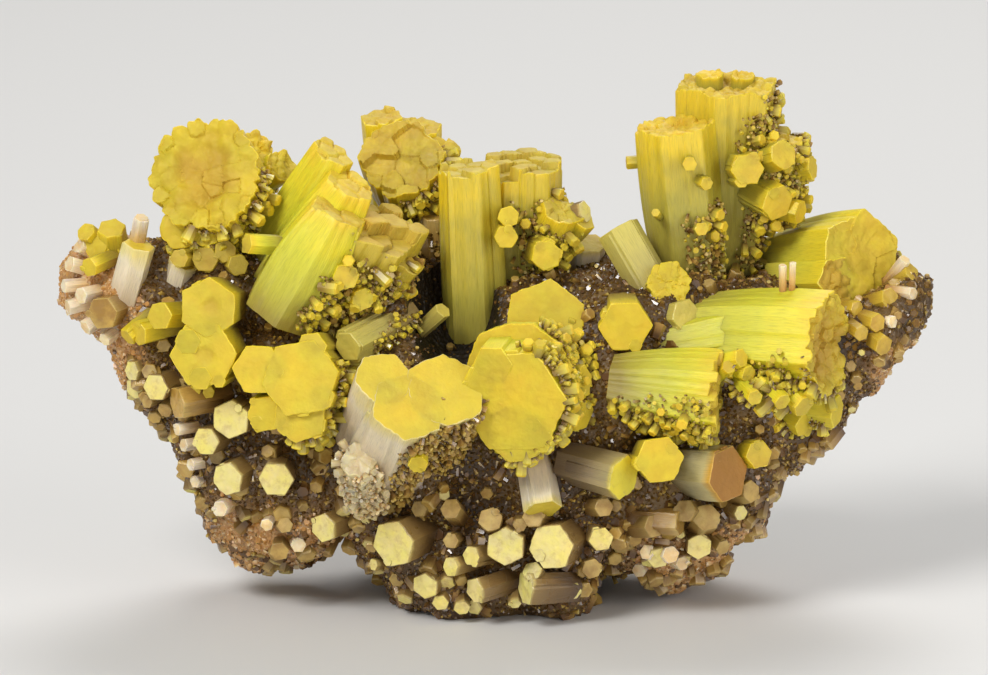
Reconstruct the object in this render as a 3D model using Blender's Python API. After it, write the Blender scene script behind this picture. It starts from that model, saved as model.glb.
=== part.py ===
"""Pyromorphite specimen: barrel-shaped hexagonal crystals standing on a druse-covered matrix.

The frame is +X to the specimen's right, +Y to its back and +Z up, with the origin in the middle
of the flat broken foot that it stands on. Lengths in this file are millimetres until they
become mesh points, which are metres. Angles are degrees.
"""

import math
import random

import bmesh
import bpy
from mathutils import Matrix, Vector, noise

MM = 0.001
FOOT_Z = 0.0            # the plane of the broken foot
SOCKET_GAP = 0.35       # free space all round a crystal's root in the matrix
SEED = 11

# ---------------------------------------------------------------- the matrix body
# Sections across the specimen: x, lowest z, highest z, front y, back y.
STATIONS = (
    (-47.6, 32.6, 37.0, -3.0, 2.0),
    (-46.0, 30.8, 39.0, -5.5, 5.0),
    (-43.0, 29.0, 40.0, -7.5, 7.5),
    (-40.3, 24.0, 40.0, -8.5, 8.5),
    (-36.5, 19.5, 39.0, -10.0, 10.0),
    (-33.0, 12.5, 38.5, -11.0, 11.5),
    (-31.0, 6.5, 40.0, -11.5, 12.0),
    (-25.5, 3.4, 40.0, -12.5, 13.5),
    (-20.5, 3.8, 37.5, -13.5, 14.5),
    (-17.0, 7.6, 35.0, -14.0, 15.0),
    (-13.5, 3.0, 36.5, -14.5, 15.5),
    (-9.0, -2.5, 37.5, -15.0, 16.0),
    (-4.0, -5.5, 36.0, -15.5, 16.5),
    (3.0, -6.0, 35.5, -15.5, 16.5),
    (9.0, -4.5, 36.5, -15.5, 16.5),
    (12.5, 2.4, 37.0, -15.0, 16.0),
    (15.5, 3.4, 36.5, -14.5, 15.5),
    (19.0, 1.2, 36.5, -14.0, 15.0),
    (23.5, 2.4, 36.0, -13.0, 13.5),
    (29.0, 7.5, 35.0, -12.0, 12.5),
    (31.5, 13.5, 34.0, -11.0, 11.5),
    (36.0, 18.0, 33.5, -9.5, 10.0),
    (41.0, 23.0, 34.0, -8.0, 8.5),
    (45.5, 28.5, 36.0, -5.0, 6.0),
    (47.8, 31.5, 35.0, -2.5, 2.5),
)
SECTION_STEP = 3.2      # distance between the loft's sections
SECTION_POINTS = 18
SECTION_SQUARE = 2.4    # 2 is an ellipse, more is squarer
LUMP_SIZE = 7.0         # lumps and hollows of the broken rock
LUMP_HEIGHT = 1.1
PIT_SIZE = 2.9
PIT_HEIGHT = 0.55
LUMPY_FROM = 20.0       # a section lower than this is smoother
# The dark hollow in front of the middle bundle's foot: its middle, its reach along each axis, and
# the way in which it is sunk into the rock.
HOLLOW_MIDDLE = Vector((-4.2, -11.5, 36.5))
HOLLOW_REACH = (5.4, 10.5, 9.5)
HOLLOW_WAY = Vector((0, 0.7, -0.7))

# ---------------------------------------------------------------- crystals
RINGS = (0.4, 0.75)     # where a crystal's sides bend, as shares of its length
FLUTE_DEPTH = 0.07      # how far every second side edge of a fluted barrel steps in


def crystal(x, y, z, turn, rise, radius, length, spin=0, root=0.7, belly=0.1, ribs=1):
    """One crystal. x, y, z is the middle of its end face; turn is from straight to the front,
    + to the right; rise is above level. radius is to the hexagon's corners at the end face.
    root and belly shape the barrel, and ribs is how many edges share each sixth of it."""
    return {
        "tip": Vector((x, y, z)),
        "turn": math.radians(turn),
        "rise": math.radians(rise),
        "radius": radius,
        "length": length,
        "spin": math.radians(spin),
        "root": root,
        "belly": belly,
        "ribs": ribs,
    }


YELLOW = ("yellow crystal", (0.83, 0.70, 0.06, 1.0), 0.35)
GREEN = ("green-yellow crystal", (0.70, 0.68, 0.07, 1.0), 0.32)
PALE = ("pale crystal", (0.62, 0.56, 0.42, 1.0), 0.4)
BROWN = ("brown crystal", (0.42, 0.24, 0.08, 1.0), 0.35)
DRUSE = ("brown druse", (0.24, 0.12, 0.05, 1.0), 0.45)

# Crystals that have grown into each other are one solid. The first of a cluster is its largest.
CLUSTERS = {
    "left_crown": (YELLOW, [
        crystal(-31.9, -8.5, 48.8, -12, 26, 6.6, 20, spin=8, root=0.6, belly=0.06, ribs=3),
        crystal(-31.2, -8.8, 43.4, -12, 20, 2.8, 7, spin=20, root=0.9, belly=0),
        crystal(-34.2, -7.8, 42.6, -16, 16, 2.3, 9, spin=10, root=0.9, belly=0),
        crystal(-26.0, 0.0, 50.8, 25, 60, 2.6, 10, spin=20, root=0.9),
        crystal(-23.0, -1.0, 47.8, 58, 38, 1.9, 8, spin=5),
        crystal(-26.0, -2.4, 45.8, 50, 14, 1.7, 5, spin=12),
    ]),
    "pale_left_prism": (PALE, [
        crystal(-38.6, -8.4, 40.8, 58, 72, 1.8, 11, spin=15, root=0.95, belly=0),
    ]),
    "pale_left_stub": (PALE, [
        crystal(-33.8, -7.0, 38.6, 40, 66, 1.8, 8, spin=0, root=0.95, belly=0),
    ]),
    "left_double_hexagon": (YELLOW, [
        crystal(-31.4, -17.0, 30.4, -12, 4, 3.8, 9, spin=4, root=0.85, belly=0),
        crystal(-30.9, -16.6, 35.5, -10, 8, 3.3, 9, spin=29, root=0.85, belly=0),
        crystal(-36.2, -14.8, 34.2, -30, 8, 1.6, 6, spin=10, root=1, belly=0),
        crystal(-38.6, -12.4, 31.8, -55, -6, 1.5, 6, spin=24, root=1, belly=0),
    ]),
    "lower_left_cluster": (YELLOW, [
        crystal(-20.9, -20.0, 28.5, -12, 12, 4.4, 8.5, spin=12, root=0.8, belly=0.05, ribs=2),
        crystal(-25.5, -18.8, 29.2, -14, 10, 2.9, 8, spin=0, root=0.85, belly=0),
        crystal(-21.0, -20.1, 24.4, -12, 8, 3.1, 8, spin=24, root=0.8, belly=0),
    ]),
    "olive_prism": (PALE, [
        crystal(-15.9, -16.6, 31.2, -38, -10, 1.8, 11, spin=8, root=0.85, belly=0),
    ]),
    "leaning_bundle": (GREEN, [
        crystal(-13.6, -9.2, 43.9, 60, 57, 6.8, 19, spin=10, root=0.8, belly=0.14, ribs=3),
        crystal(-17.4, -6.8, 50.8, 60, 57, 2.5, 19, spin=4, root=1.35, belly=0.1),
        crystal(-15.6, -9.6, 47.7, 60, 57, 3.0, 16, spin=24, root=1.55, belly=0.2),
        crystal(-9.8, -9.6, 39.8, 62, 46, 2.8, 10, spin=12, root=0.9, belly=0.05),
        crystal(-27.8, -11.6, 40.8, -60, 14, 1.1, 6),
        crystal(-16.0, -16.0, 38.8, 8, 4, 1.5, 7, spin=6),
        crystal(-14.2, -14.6, 36.0, 24, 2, 1.3, 6, spin=16),
    ]),
    "back_centre_crystals": (YELLOW, [
        crystal(-10.6, 1.0, 48.6, -14, 42, 5.0, 13, spin=14, root=0.85, belly=0.04, ribs=2),
        crystal(-12.5, 6.4, 52.4, -22, 74, 2.5, 22, spin=0, root=0.95, belly=0.1),
        crystal(-8.4, 7.4, 51.2, 4, 76, 2.7, 21, spin=18, root=0.95, belly=0.05),
        crystal(-6.4, 3.4, 48.4, 14, 50, 3.0, 12, spin=20, root=0.9, belly=0),
        crystal(-5.4, 5.6, 48.6, 24, 66, 2.0, 12, spin=8, root=0.95, belly=0),
    ]),
    "centre_tall_bundle": (GREEN, [
        crystal(2.8, -1.2, 47.4, 12, 76, 5.2, 19, spin=6, root=0.72, belly=0.08, ribs=3),
        crystal(-3.6, -2.8, 48.4, -40, 82, 3.4, 21, spin=20, root=0.75, belly=0.1, ribs=2),
        crystal(7.4, -2.4, 43.6, 40, 56, 2.6, 10, spin=10),
        crystal(0.9, -7.4, 40.6, 2, 6, 1.4, 7),
        crystal(5.6, -7.2, 38.8, 16, 6, 1.7, 8, spin=18),
        crystal(9.7, -2.2, 42.4, 50, 46, 1.5, 6, spin=4),
    ]),
    "centre_hexagon": (YELLOW, [
        crystal(5.5, -11.6, 33.0, 4, 18, 4.7, 8, spin=22, root=0.85, belly=0),
    ]),
    "right_hexagon": (YELLOW, [
        crystal(14.1, -13.2, 32.7, 2, 0, 3.0, 7, spin=2, root=0.95, belly=0),
    ]),
    "upper_middle_prisms": (PALE, [
        crystal(13.6, 2.0, 39.8, -48, 60, 2.5, 8, spin=12, root=0.95, belly=0),
        crystal(10.4, 1.6, 39.0, 8, 66, 2.0, 6, spin=0, root=0.95, belly=0),
    ]),
    "upper_middle_hexagon": (YELLOW, [
        crystal(18.0, -6.6, 36.2, 20, 45, 1.8, 5, spin=8, root=0.9, belly=0),
    ]),
    "tall_right_pair": (GREEN, [
        crystal(24.9, 6.5, 56.0, 6, 85, 5.4, 24.9, spin=12, root=0.62, belly=0.12, ribs=3),
        crystal(19.6, 1.0, 52.4, -50, 83, 4.6, 21, spin=0, root=0.66, belly=0.14, ribs=3),
        crystal(30.4, 5.5, 50.2, 20, 84, 3.9, 10, spin=8, root=0.85, belly=0.1, ribs=2),
        crystal(27.6, -1.6, 47.8, 10, 8, 1.9, 8, spin=3),
        crystal(31.6, -0.4, 49.2, 30, 18, 1.7, 7, spin=20),
        crystal(31.0, -0.2, 43.8, 34, -8, 2.1, 8, spin=14),
        crystal(35.0, 3.8, 47.0, 70, 10, 1.4, 7),
        crystal(33.6, 1.6, 42.4, 60, -6, 1.4, 6),
        crystal(14.4, 1.2, 48.0, -84, -4, 0.8, 5),
    ]),
    "right_back_barrel": (YELLOW, [
        crystal(40.2, 1.0, 37.6, 42, 20, 5.4, 13.5, spin=18, root=0.72, belly=0.06, ribs=2),
        crystal(37.2, -2.4, 36.6, 46, 18, 3.2, 10, spin=0, root=0.9, belly=0),
    ]),
    "right_front_barrels": (GREEN, [
        crystal(36.4, -12.6, 30.6, 63, 2, 6.0, 18, spin=10, root=0.72, belly=0.1, ribs=3),
        crystal(24.4, -15.4, 25.6, 80, -5, 5.2, 12, spin=22, root=0.55, belly=0.06, ribs=3),
        crystal(33.4, -16.4, 24.4, 40, -24, 2.0, 8),
        crystal(28.0, -18.6, 26.0, 20, -10, 1.4, 7, spin=12),
    ]),
    "front_centre_pair": (YELLOW, [
        crystal(1.9, -22.3, 26.4, -14, -6, 6.2, 9, spin=4, root=0.85, belly=0.03, ribs=3),
        crystal(-8.2, -23.2, 27.3, 15, 40, 6.4, 18, spin=5, root=0.93, belly=0, ribs=2),
        crystal(1.6, -22.5, 22.8, -16, 0, 3.3, 8, spin=18, root=0.8, belly=0),
        crystal(9.4, -17.4, 27.6, 50, 4, 1.8, 7, spin=10),
        crystal(9.4, -16.8, 23.6, 48, -6, 1.8, 7, spin=3),
    ]),
    "downward_prism": (PALE, [
        crystal(5.2, -18.4, 13.6, 14, -50, 2.1, 6.5, spin=10, root=0.95, belly=0),
    ]),
    "front_right_hexagon": (YELLOW, [
        crystal(17.7, -21.0, 19.7, 8, 10, 2.7, 9, spin=6, root=0.8, belly=0),
    ]),
    "front_right_prism": (YELLOW, [
        crystal(13.1, -19.4, 17.4, 50, -4, 2.6, 7, spin=20, root=0.9, belly=0),
    ]),
    "brown_barrel": (BROWN, [
        crystal(25.2, -17.0, 17.2, 46, 6, 3.2, 7, spin=8, root=0.75, belly=0.1),
    ]),
    "back_left_barrel": (GREEN, [
        crystal(-26.0, 17.0, 36.0, 196, 34, 4.4, 9, spin=10, root=0.75, belly=0.06, ribs=2),
        crystal(-30.6, 14.6, 33.0, 216, 16, 2.4, 8, spin=4),
    ]),
    "back_middle_pair": (YELLOW, [
        crystal(-3.0, 21.5, 28.0, 184, 16, 4.9, 10, spin=16, root=0.75, belly=0.05, ribs=2),
        crystal(3.8, 21.0, 31.0, 172, 26, 3.4, 9, spin=6),
    ]),
    "back_right_barrel": (GREEN, [
        crystal(22.0, 19.6, 26.6, 160, 16, 4.2, 9, spin=22, root=0.75, belly=0.06, ribs=2),
        crystal(27.6, 17.0, 23.6, 144, 4, 2.3, 8, spin=2),
    ]),
}

# Small crystals grown into the matrix: x and z of the end face, turn, rise, radius, spin.
# Each stands out of the front by STAND.
STAND = 2.2
BURIED = 3.0
SMALL_FRONT = (
    (-11.0, 9.2, -30, -2, 2.75, 14),
    (1.1, 9.2, -8, 0, 2.2, 28),
    (6.1, 9.2, -20, 2, 2.7, 10),
    (11.5, 9.7, 12, 6, 1.4, 8),
    (-7.6, 4.2, -22, -8, 1.6, 24),
    (-5.9, 2.4, -12, -18, 1, 6),
    (-4.8, 6.9, -40, 0, 1.15, 10),
    (-2.6, 8.2, -36, 4, 1.2, 2),
    (-2.2, 4.1, -52, -6, 1.5, 16),
    (3.3, 4.3, -62, 4, 2, 8),
    (4.0, 6.5, -24, 36, 1.2, 20),
    (8.4, 3.8, 6, -12, 1.1, 0),
    (-0.5, 12.4, -4, 22, 1.4, 18),
    (4.1, 12.7, -14, 18, 1.2, 8),
    (-28.6, 22.6, -16, 2, 2.2, 26),
    (-31.4, 20.0, -24, 0, 1.65, 4),
    (-29.0, 15.8, -26, -4, 1.95, 20),
    (-23.8, 16.1, -6, -2, 2, 0),
    (-18.7, 10.3, -32, -2, 1.7, 24),
    (-34.5, 24.1, -62, -4, 1.9, 10),
    (-39.6, 27.1, -44, -4, 1.2, 6),
    (-39.2, 24.7, -36, -12, 1.3, 18),
    (-36.9, 25.6, -26, -2, 1.6, 2),
    (-43.6, 39.8, -22, 14, 1.6, 10),
    (-44.7, 41.4, -34, 34, 1.1, 0),
    (-41.8, 41.9, -8, 58, 1.6, 20),
    (-40.4, 39.8, 14, 30, 1, 8),
    (-39.9, 31.0, -52, -30, 1.1, 2),
    (22.2, 8.2, 6, -2, 1.5, 26),
    (23.0, 11.8, 12, 26, 1.6, 10),
    (20.5, 12.7, -18, 14, 1.3, 4),
    (27.8, 14.5, 40, 16, 1.3, 18),
    (20.2, 11.5, 66, 2, 1.5, 8),
    (17.9, 6.9, 8, -14, 1.3, 12),
    (41.7, 32.0, 34, 0, 1.1, 20),
    (43.2, 34.1, 44, 20, 1.3, 8),
    (45.7, 36.3, 56, 30, 1.2, 0),
    (42.3, 29.6, 34, -14, 1.2, 24),
)
# Small crystals scattered on the sides that the front ones leave bare, by the section's angle:
# 0 is the front, 90 the top, 180 the back and 270 the underside.
SCATTERED = 24
SCATTER_FROM, SCATTER_TO = 125, 262
SCATTER_RADII = (0.9, 2.1)


def blend_between(a, b, share):
    """a at 0 and b at 1, with a level start and finish."""
    smooth = share * share * (3 - 2 * share)
    return a + (b - a) * smooth


def section_at(x):
    """Lowest z, highest z, front y and back y of the matrix body at x."""
    x = min(max(x, STATIONS[0][0]), STATIONS[-1][0])
    for left, right in zip(STATIONS, STATIONS[1:]):
        if x <= right[0]:
            share = (x - left[0]) / (right[0] - left[0])
            return [blend_between(a, b, share) for a, b in zip(left[1:], right[1:])]
    return list(STATIONS[-1][1:])


def rounded(value):
    """A cosine or sine, squared off by SECTION_SQUARE."""
    return math.copysign(abs(value) ** (2 / SECTION_SQUARE), value)


def surface_point(x, angle):
    """A point on the smooth matrix body, and the way it faces in the section."""
    bottom, top, front, back = section_at(x)
    across, up = math.cos(angle), math.sin(angle)
    middle = Vector((x, (front + back) / 2, (bottom + top) / 2))
    out = Vector((0, -rounded(across) * (back - front) / 2, rounded(up) * (top - bottom) / 2))
    return middle + out, out.normalized()


def front_y(x, z):
    """How far forward the smooth matrix body reaches at x and z."""
    bottom, top, front, back = section_at(x)
    height = min(abs(2 * z - bottom - top) / (top - bottom), 0.98)
    depth = (1 - height ** SECTION_SQUARE) ** (1 / SECTION_SQUARE)
    return (front + back) / 2 - depth * (back - front) / 2


def direction_of(c):
    """The unit vector along which a crystal has grown."""
    level = math.cos(c["rise"])
    return Vector((math.sin(c["turn"]) * level, -math.cos(c["turn"]) * level, math.sin(c["rise"])))


def hollowed(point):
    """The point sunk to the wall of the hollow, where it would be in the hollow's open space."""
    off = [(p - m) / r for p, m, r in zip(point, HOLLOW_MIDDLE, HOLLOW_REACH)]
    way = [w / r for w, r in zip(HOLLOW_WAY, HOLLOW_REACH)]
    square = sum(o * o for o in off)
    if square >= 1:
        return point
    along = sum(o * w for o, w in zip(off, way))
    pace = sum(w * w for w in way)
    return point + HOLLOW_WAY * ((math.sqrt(along * along + pace * (1 - square)) - along) / pace)


def roughened(point, out):
    """The point moved by the lumps and pits of broken rock, less so where the rock is thin."""
    bottom, top, _, _ = section_at(point.x)
    lump = noise.noise(point / LUMP_SIZE) * LUMP_HEIGHT
    pit = noise.noise(point / PIT_SIZE + Vector((31, 7, 19))) * PIT_HEIGHT
    return hollowed(point + out * 2 * (lump + pit) * min(1, (top - bottom) / LUMPY_FROM))


def new_object(name, bm, collection, material=None):
    """A mesh object from bm, which is in millimetres, put in the collection."""
    for vert in bm.verts:
        vert.co *= MM
    if bm.calc_volume(signed=True) < 0:
        bmesh.ops.reverse_faces(bm, faces=bm.faces)
    mesh = bpy.data.meshes.new(name)
    bm.to_mesh(mesh)
    bm.free()
    made = bpy.data.objects.new(name, mesh)
    collection.objects.link(made)
    if material:
        mesh.materials.append(material)
    return made


def new_collection(name, helper=False):
    """A collection in the scene. A helper's objects shape the others and are not shown."""
    made = bpy.data.collections.new(name)
    bpy.context.scene.collection.children.link(made)
    made.hide_render = helper
    return made


def new_material(name, colour, roughness):
    """A Principled material of one colour."""
    made = bpy.data.materials.new(name)
    made.use_nodes = True
    shader = made.node_tree.nodes["Principled BSDF"]
    shader.inputs["Base Color"].default_value = colour
    shader.inputs["Roughness"].default_value = roughness
    shader.inputs["Metallic"].default_value = 0.0
    return made


def hexagon_reach(angle):
    """Distance from the middle of a hexagon with corners at 1 to its outline."""
    sixth = math.radians(60)
    return math.cos(sixth / 2) / math.cos(angle % sixth - sixth / 2)


def crystal_bmesh(c, grow=0.0):
    """The crystal as a ringed six-sided barrel in place, made larger all round by grow."""
    sides = 6 * c["ribs"]
    bm = bmesh.new()
    bmesh.ops.create_cone(
        bm, cap_ends=True, segments=sides, radius1=1, radius2=1, depth=1
    )
    for ring in RINGS if c["belly"] else ():
        bmesh.ops.bisect_plane(
            bm, geom=bm.verts[:] + bm.edges[:] + bm.faces[:],
            plane_co=(0, 0, ring - 0.5), plane_no=(0, 0, 1),
        )
    bm.verts.ensure_lookup_table()
    first = math.atan2(bm.verts[0].co.y, bm.verts[0].co.x)
    for vert in bm.verts:
        along = vert.co.z + 0.5
        angle = math.atan2(vert.co.y, vert.co.x) - first
        rib = round(angle / math.radians(360) * sides)
        swell = c["root"] + (1 - c["root"]) * along + c["belly"] * math.sin(math.pi * along)
        reach = hexagon_reach(angle + 1e-6)
        if c["ribs"] > 1:
            reach = (reach + 1) / 2 - (FLUTE_DEPTH if rib % 2 else 0)
        radius = c["radius"] * swell * reach + grow
        height = (along - 1) * c["length"] + grow * (2 * along - 1)
        vert.co = (math.cos(angle) * radius, math.sin(angle) * radius, height)
    upright = Matrix.Rotation(c["spin"], 4, "Z")
    leaning = direction_of(c).to_track_quat("Z", "Y").to_matrix().to_4x4()
    bm.transform(Matrix.Translation(c["tip"]) @ leaning @ upright)
    return bm


def add_boolean(target, operation, other):
    """Joins other, an object or a collection of them, to the target or cuts it away."""
    modifier = target.modifiers.new(operation.lower(), "BOOLEAN")
    modifier.operation = operation
    modifier.solver = "EXACT"
    if isinstance(other, bpy.types.Collection):
        modifier.operand_type = "COLLECTION"
        modifier.collection = other
    else:
        modifier.object = other


def build_cluster(name, crystals, finish, specimen):
    """One solid of the crystals that have grown into each other."""
    body = new_object(name, crystal_bmesh(crystals[0]), specimen, finish)
    if len(crystals) > 1:
        companions = new_collection(f"{name} companions", helper=True)
        for number, companion in enumerate(crystals[1:], 1):
            helper = new_object(f"{name} {number}", crystal_bmesh(companion), companions)
            helper.hide_render = True
            helper.display_type = "WIRE"
        add_boolean(body, "UNION", companions)
    return body


def matrix_bmesh():
    """The rock under the crystals, lofted from section to section and closed at both ends."""
    bm = bmesh.new()
    first, last = STATIONS[0][0], STATIONS[-1][0]
    count = round((last - first) / SECTION_STEP)
    loops = []
    for i in range(count + 1):
        x = first + (last - first) * i / count
        loop = []
        for k in range(SECTION_POINTS):
            point, out = surface_point(x, math.radians(360) * k / SECTION_POINTS)
            loop.append(bm.verts.new(roughened(point, out)))
        loops.append(loop)
    for one, two in zip(loops, loops[1:]):
        for k in range(SECTION_POINTS):
            after = (k + 1) % SECTION_POINTS
            bm.faces.new((one[k], one[after], two[after], two[k]))
    bm.faces.new(loops[0])
    bm.faces.new(reversed(loops[-1]))
    bmesh.ops.recalc_face_normals(bm, faces=bm.faces)
    bmesh.ops.triangulate(bm, faces=bm.faces)
    return bm


def small_front_crystals():
    """The small crystals of the front, each seated on the matrix body."""
    made = []
    for x, z, turn, rise, radius, spin in SMALL_FRONT:
        y = front_y(x, z) - STAND
        made.append(crystal(x, y, z, turn, rise, radius, STAND + BURIED, spin, 0.95, 0))
    return made


def scattered_crystals():
    """The small crystals of the back and the underside, spread evenly and turned at random."""
    chance = random.Random(SEED)
    made = []
    for i in range(SCATTERED):
        x = -43 + 86 * (i + chance.random() * 0.8) / SCATTERED
        angle = math.radians(SCATTER_FROM + (SCATTER_TO - SCATTER_FROM) * ((i * 0.618) % 1))
        point, out = surface_point(x, angle)
        radius = chance.uniform(*SCATTER_RADII)
        stand = chance.uniform(0.8, 2.0)
        lean = out + Vector([chance.uniform(-0.35, 0.35) for _ in range(3)])
        lean.normalize()
        tip = point + out * LUMP_HEIGHT + lean * stand
        if tip.z < radius + 1.0:
            continue
        turn = math.degrees(math.atan2(lean.x, -lean.y))
        rise = math.degrees(math.asin(lean.z))
        made.append(crystal(*tip, turn, rise, radius, stand + BURIED + LUMP_HEIGHT,
                            chance.uniform(0, 60), 0.95, 0))
    return made


def keep_largest_body(target):
    """Replaces the target's mesh by its evaluated one, without the crumbs that cutting left."""
    graph = bpy.context.evaluated_depsgraph_get()
    mesh = bpy.data.meshes.new_from_object(target.evaluated_get(graph))
    target.modifiers.clear()
    target.data = mesh
    bm = bmesh.new()
    bm.from_mesh(mesh)
    left = set(bm.verts)
    bodies = []
    while left:
        found, edge = set(), {left.pop()}
        while edge:
            found |= edge
            edge = {e.other_vert(v) for v in edge for e in v.link_edges} - found
        left -= found
        bodies.append(found)
    bodies.sort(key=len)
    for crumb in bodies[:-1]:
        bmesh.ops.delete(bm, geom=list(crumb), context="VERTS")
    bm.to_mesh(mesh)
    bm.free()


def build_matrix(specimen, finish):
    """The druse-covered matrix with its small crystals, its sockets and its flat foot."""
    body = new_object("matrix", matrix_bmesh(), specimen, finish)
    grown_on = new_collection("matrix crystals", helper=True)
    for number, small in enumerate(small_front_crystals() + scattered_crystals()):
        new_object(f"small crystal {number}", crystal_bmesh(small), grown_on)
    sockets = new_collection("sockets", helper=True)
    for name, (_, crystals) in CLUSTERS.items():
        for number, root in enumerate(crystals):
            new_object(f"{name} socket {number}", crystal_bmesh(root, SOCKET_GAP), sockets)
    under = bmesh.new()
    bmesh.ops.create_cube(under, size=120)
    bmesh.ops.translate(under, verts=under.verts, vec=(0, 0, FOOT_Z - 60))
    ground = new_collection("ground", helper=True)
    new_object("ground below the foot", under, ground)
    for helper in [*ground.objects, *grown_on.objects, *sockets.objects]:
        helper.hide_render = True
        helper.display_type = "WIRE"
    add_boolean(body, "UNION", grown_on)
    add_boolean(body, "DIFFERENCE", sockets)
    add_boolean(body, "DIFFERENCE", ground)
    keep_largest_body(body)
    return body


def main():
    for leftover in list(bpy.data.objects):
        bpy.data.objects.remove(leftover)
    specimen = new_collection("pyromorphite specimen")
    finishes = {}
    for name, (finish, crystals) in CLUSTERS.items():
        if finish[0] not in finishes:
            finishes[finish[0]] = new_material(*finish)
        build_cluster(name, crystals, finishes[finish[0]], specimen)
    build_matrix(specimen, new_material(*DRUSE))


main()
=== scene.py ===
import math
import random

import bpy
from mathutils import Matrix, Vector, noise


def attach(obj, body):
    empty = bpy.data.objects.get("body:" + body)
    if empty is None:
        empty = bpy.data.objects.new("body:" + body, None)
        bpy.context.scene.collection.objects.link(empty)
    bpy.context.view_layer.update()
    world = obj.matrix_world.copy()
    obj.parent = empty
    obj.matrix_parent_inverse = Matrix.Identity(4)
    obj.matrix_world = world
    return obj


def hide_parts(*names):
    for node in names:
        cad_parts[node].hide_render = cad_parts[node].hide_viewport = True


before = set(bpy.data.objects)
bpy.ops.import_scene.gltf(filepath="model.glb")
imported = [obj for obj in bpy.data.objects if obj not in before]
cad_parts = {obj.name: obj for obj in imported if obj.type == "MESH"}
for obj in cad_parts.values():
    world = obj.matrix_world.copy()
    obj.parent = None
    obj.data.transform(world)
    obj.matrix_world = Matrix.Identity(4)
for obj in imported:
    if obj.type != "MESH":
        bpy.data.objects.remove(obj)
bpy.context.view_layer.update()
print("specimen: frame loaded")

mm = 0.001
stemLook = dict(   # a crystal's look where its own row doesn't say; sizes in mm
    cells=0, step=0, seam=0.12, dome=0, slope=(0, 0),   # columns at its end: width, steps, gaps, swelling, tilt
    groove=0.1, bulge=0.05, flute=0.03,   # creases, swellings and ribs down the sides
    roundness=0.04, worn=0.01, ragged=0.02, raggedScale=0.4,   # outline of the end
    wavy=0.1, grain=0.03, hollow=0, hollowWide=0.6,   # relief of the end face
    sink=0, hollowShade=0.8,   # how brown all over, and how brown in the hollow: partly the crystal's own orange brown, partly painted shade
    lobes=0, lobeSize=(0.2, 0.42), drop=0.1,   # narrower crystals in its sides: number, thickness, how far back
    flank=0, dull=0, coarse=1, crusty=0,   # small crystals on one flank, and their kinds
    fine=1)   # 2 for a mesh twice as fine
grid = dict(sidesPerMm=2.9, ringStep=0.9, capStep=0.36, edge=0.09,   # of the barrels' meshes, in mm
            flankRings=(0.02, 0.12, 0.22, 0.32, 0.42, 0.52, 0.62, 0.72, 0.8, 0.88, 0.94, 0.985), flankSides=24)
seeds = dict(clusters=100, druse=60, eachPiece=7, front=7, left=21, right=22)


def stem(x, y, z, turn, rise, radius, length, spin=0, root=0.7, belly=0.1, **look):
    # x, y, z: middle of the end face; turn: from the front, + to the right; rise: above level
    made = dict(stemLook, tip=Vector((x, y, z)), turn=math.radians(turn), rise=math.radians(rise),
                radius=radius, length=length, spin=math.radians(spin), root=root, belly=belly)
    made.update(look)
    return made


def alike(*rows, **look):
    return [stem(*row, **look) for row in rows]


def flanked(start=0.15, side=(0.75, -0.15, -0.65), top=0.8, amount=1, **kinds):
    # small crystals on the flank that faces that side, up to that share of the crystal's length
    return dict(flank=amount, flankFrom=start, flankSide=side, flankTop=top, **kinds)


def growthLine(s):
    level = math.cos(s["rise"])
    return Vector((math.sin(s["turn"]) * level, -math.cos(s["turn"]) * level, math.sin(s["rise"])))


def placeOf(s):
    # from the crystal's own space, with its end at 0 and its root below, to the specimen
    leaning = growthLine(s).to_track_quat("Z", "Y").to_matrix().to_4x4()
    return Matrix.Translation(s["tip"]) @ leaning @ Matrix.Rotation(s["spin"], 4, "Z")


def swellAt(s, along):
    return s["root"] + (1 - s["root"]) * along + s["belly"] * math.sin(math.pi * along)


def hexReach(angle):
    sixth = math.pi / 3
    return math.cos(sixth / 2) / math.cos(angle % sixth - sixth / 2)


def smooth(low, high, value):
    share = min(max((value - low) / (high - low), 0), 1)
    return share * share * (3 - 2 * share)


def newShape():
    return dict(verts=[], faces=[], uvs=[], along=[], cap=[], tint=[], sink=[])


def addPoint(shape, point, along, sink=0.0):
    shape["verts"].append(point)
    shape["along"].append(along)
    shape["sink"].append(sink)


def addSide(shape, corners, left, right, bottom, top, tint):
    # one face of a crystal's side; its map runs up the crystal
    shape["faces"].append(corners)
    shape["uvs"] += [(left, bottom), (right, bottom), (right, top), (left, top)]
    shape["cap"].append(0.0)
    shape["tint"].append(tint)


def addFlat(shape, corners, tint):
    # one face of a crystal's end or root
    shape["faces"].append(corners)
    shape["uvs"] += [(shape["verts"][c].x, shape["verts"][c].z) for c in corners]
    shape["cap"].append(1.0)
    shape["tint"].append(tint)


def addPrism(shape, place, rings, tint, sides=6, ends=True):
    # rings run from root to end: (z, radius, along)
    first = len(shape["verts"])
    start = tint * 37.7
    for z, radius, along in rings:
        for k in range(sides):
            angle = 2 * math.pi * k / sides
            addPoint(shape, place @ Vector((math.cos(angle) * radius, math.sin(angle) * radius, z)), along)
    for i in range(len(rings) - 1):
        width = rings[i][1] * 2 * math.sin(math.pi / sides)
        low, high = first + i * sides, first + (i + 1) * sides
        for k in range(sides):
            after = (k + 1) % sides
            addSide(shape, (low + k, low + after, high + after, high + k), start + k * width,
                    start + (k + 1) * width, rings[i][0], rings[i + 1][0], tint)
    if ends:
        last = first + (len(rings) - 1) * sides
        addFlat(shape, tuple(first + k for k in reversed(range(sides))), tint)
        addFlat(shape, tuple(last + k for k in range(sides)), tint)


def placed(name, data):
    made = bpy.data.objects.new(name, data)
    bpy.context.scene.collection.objects.link(made)
    return made


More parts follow.
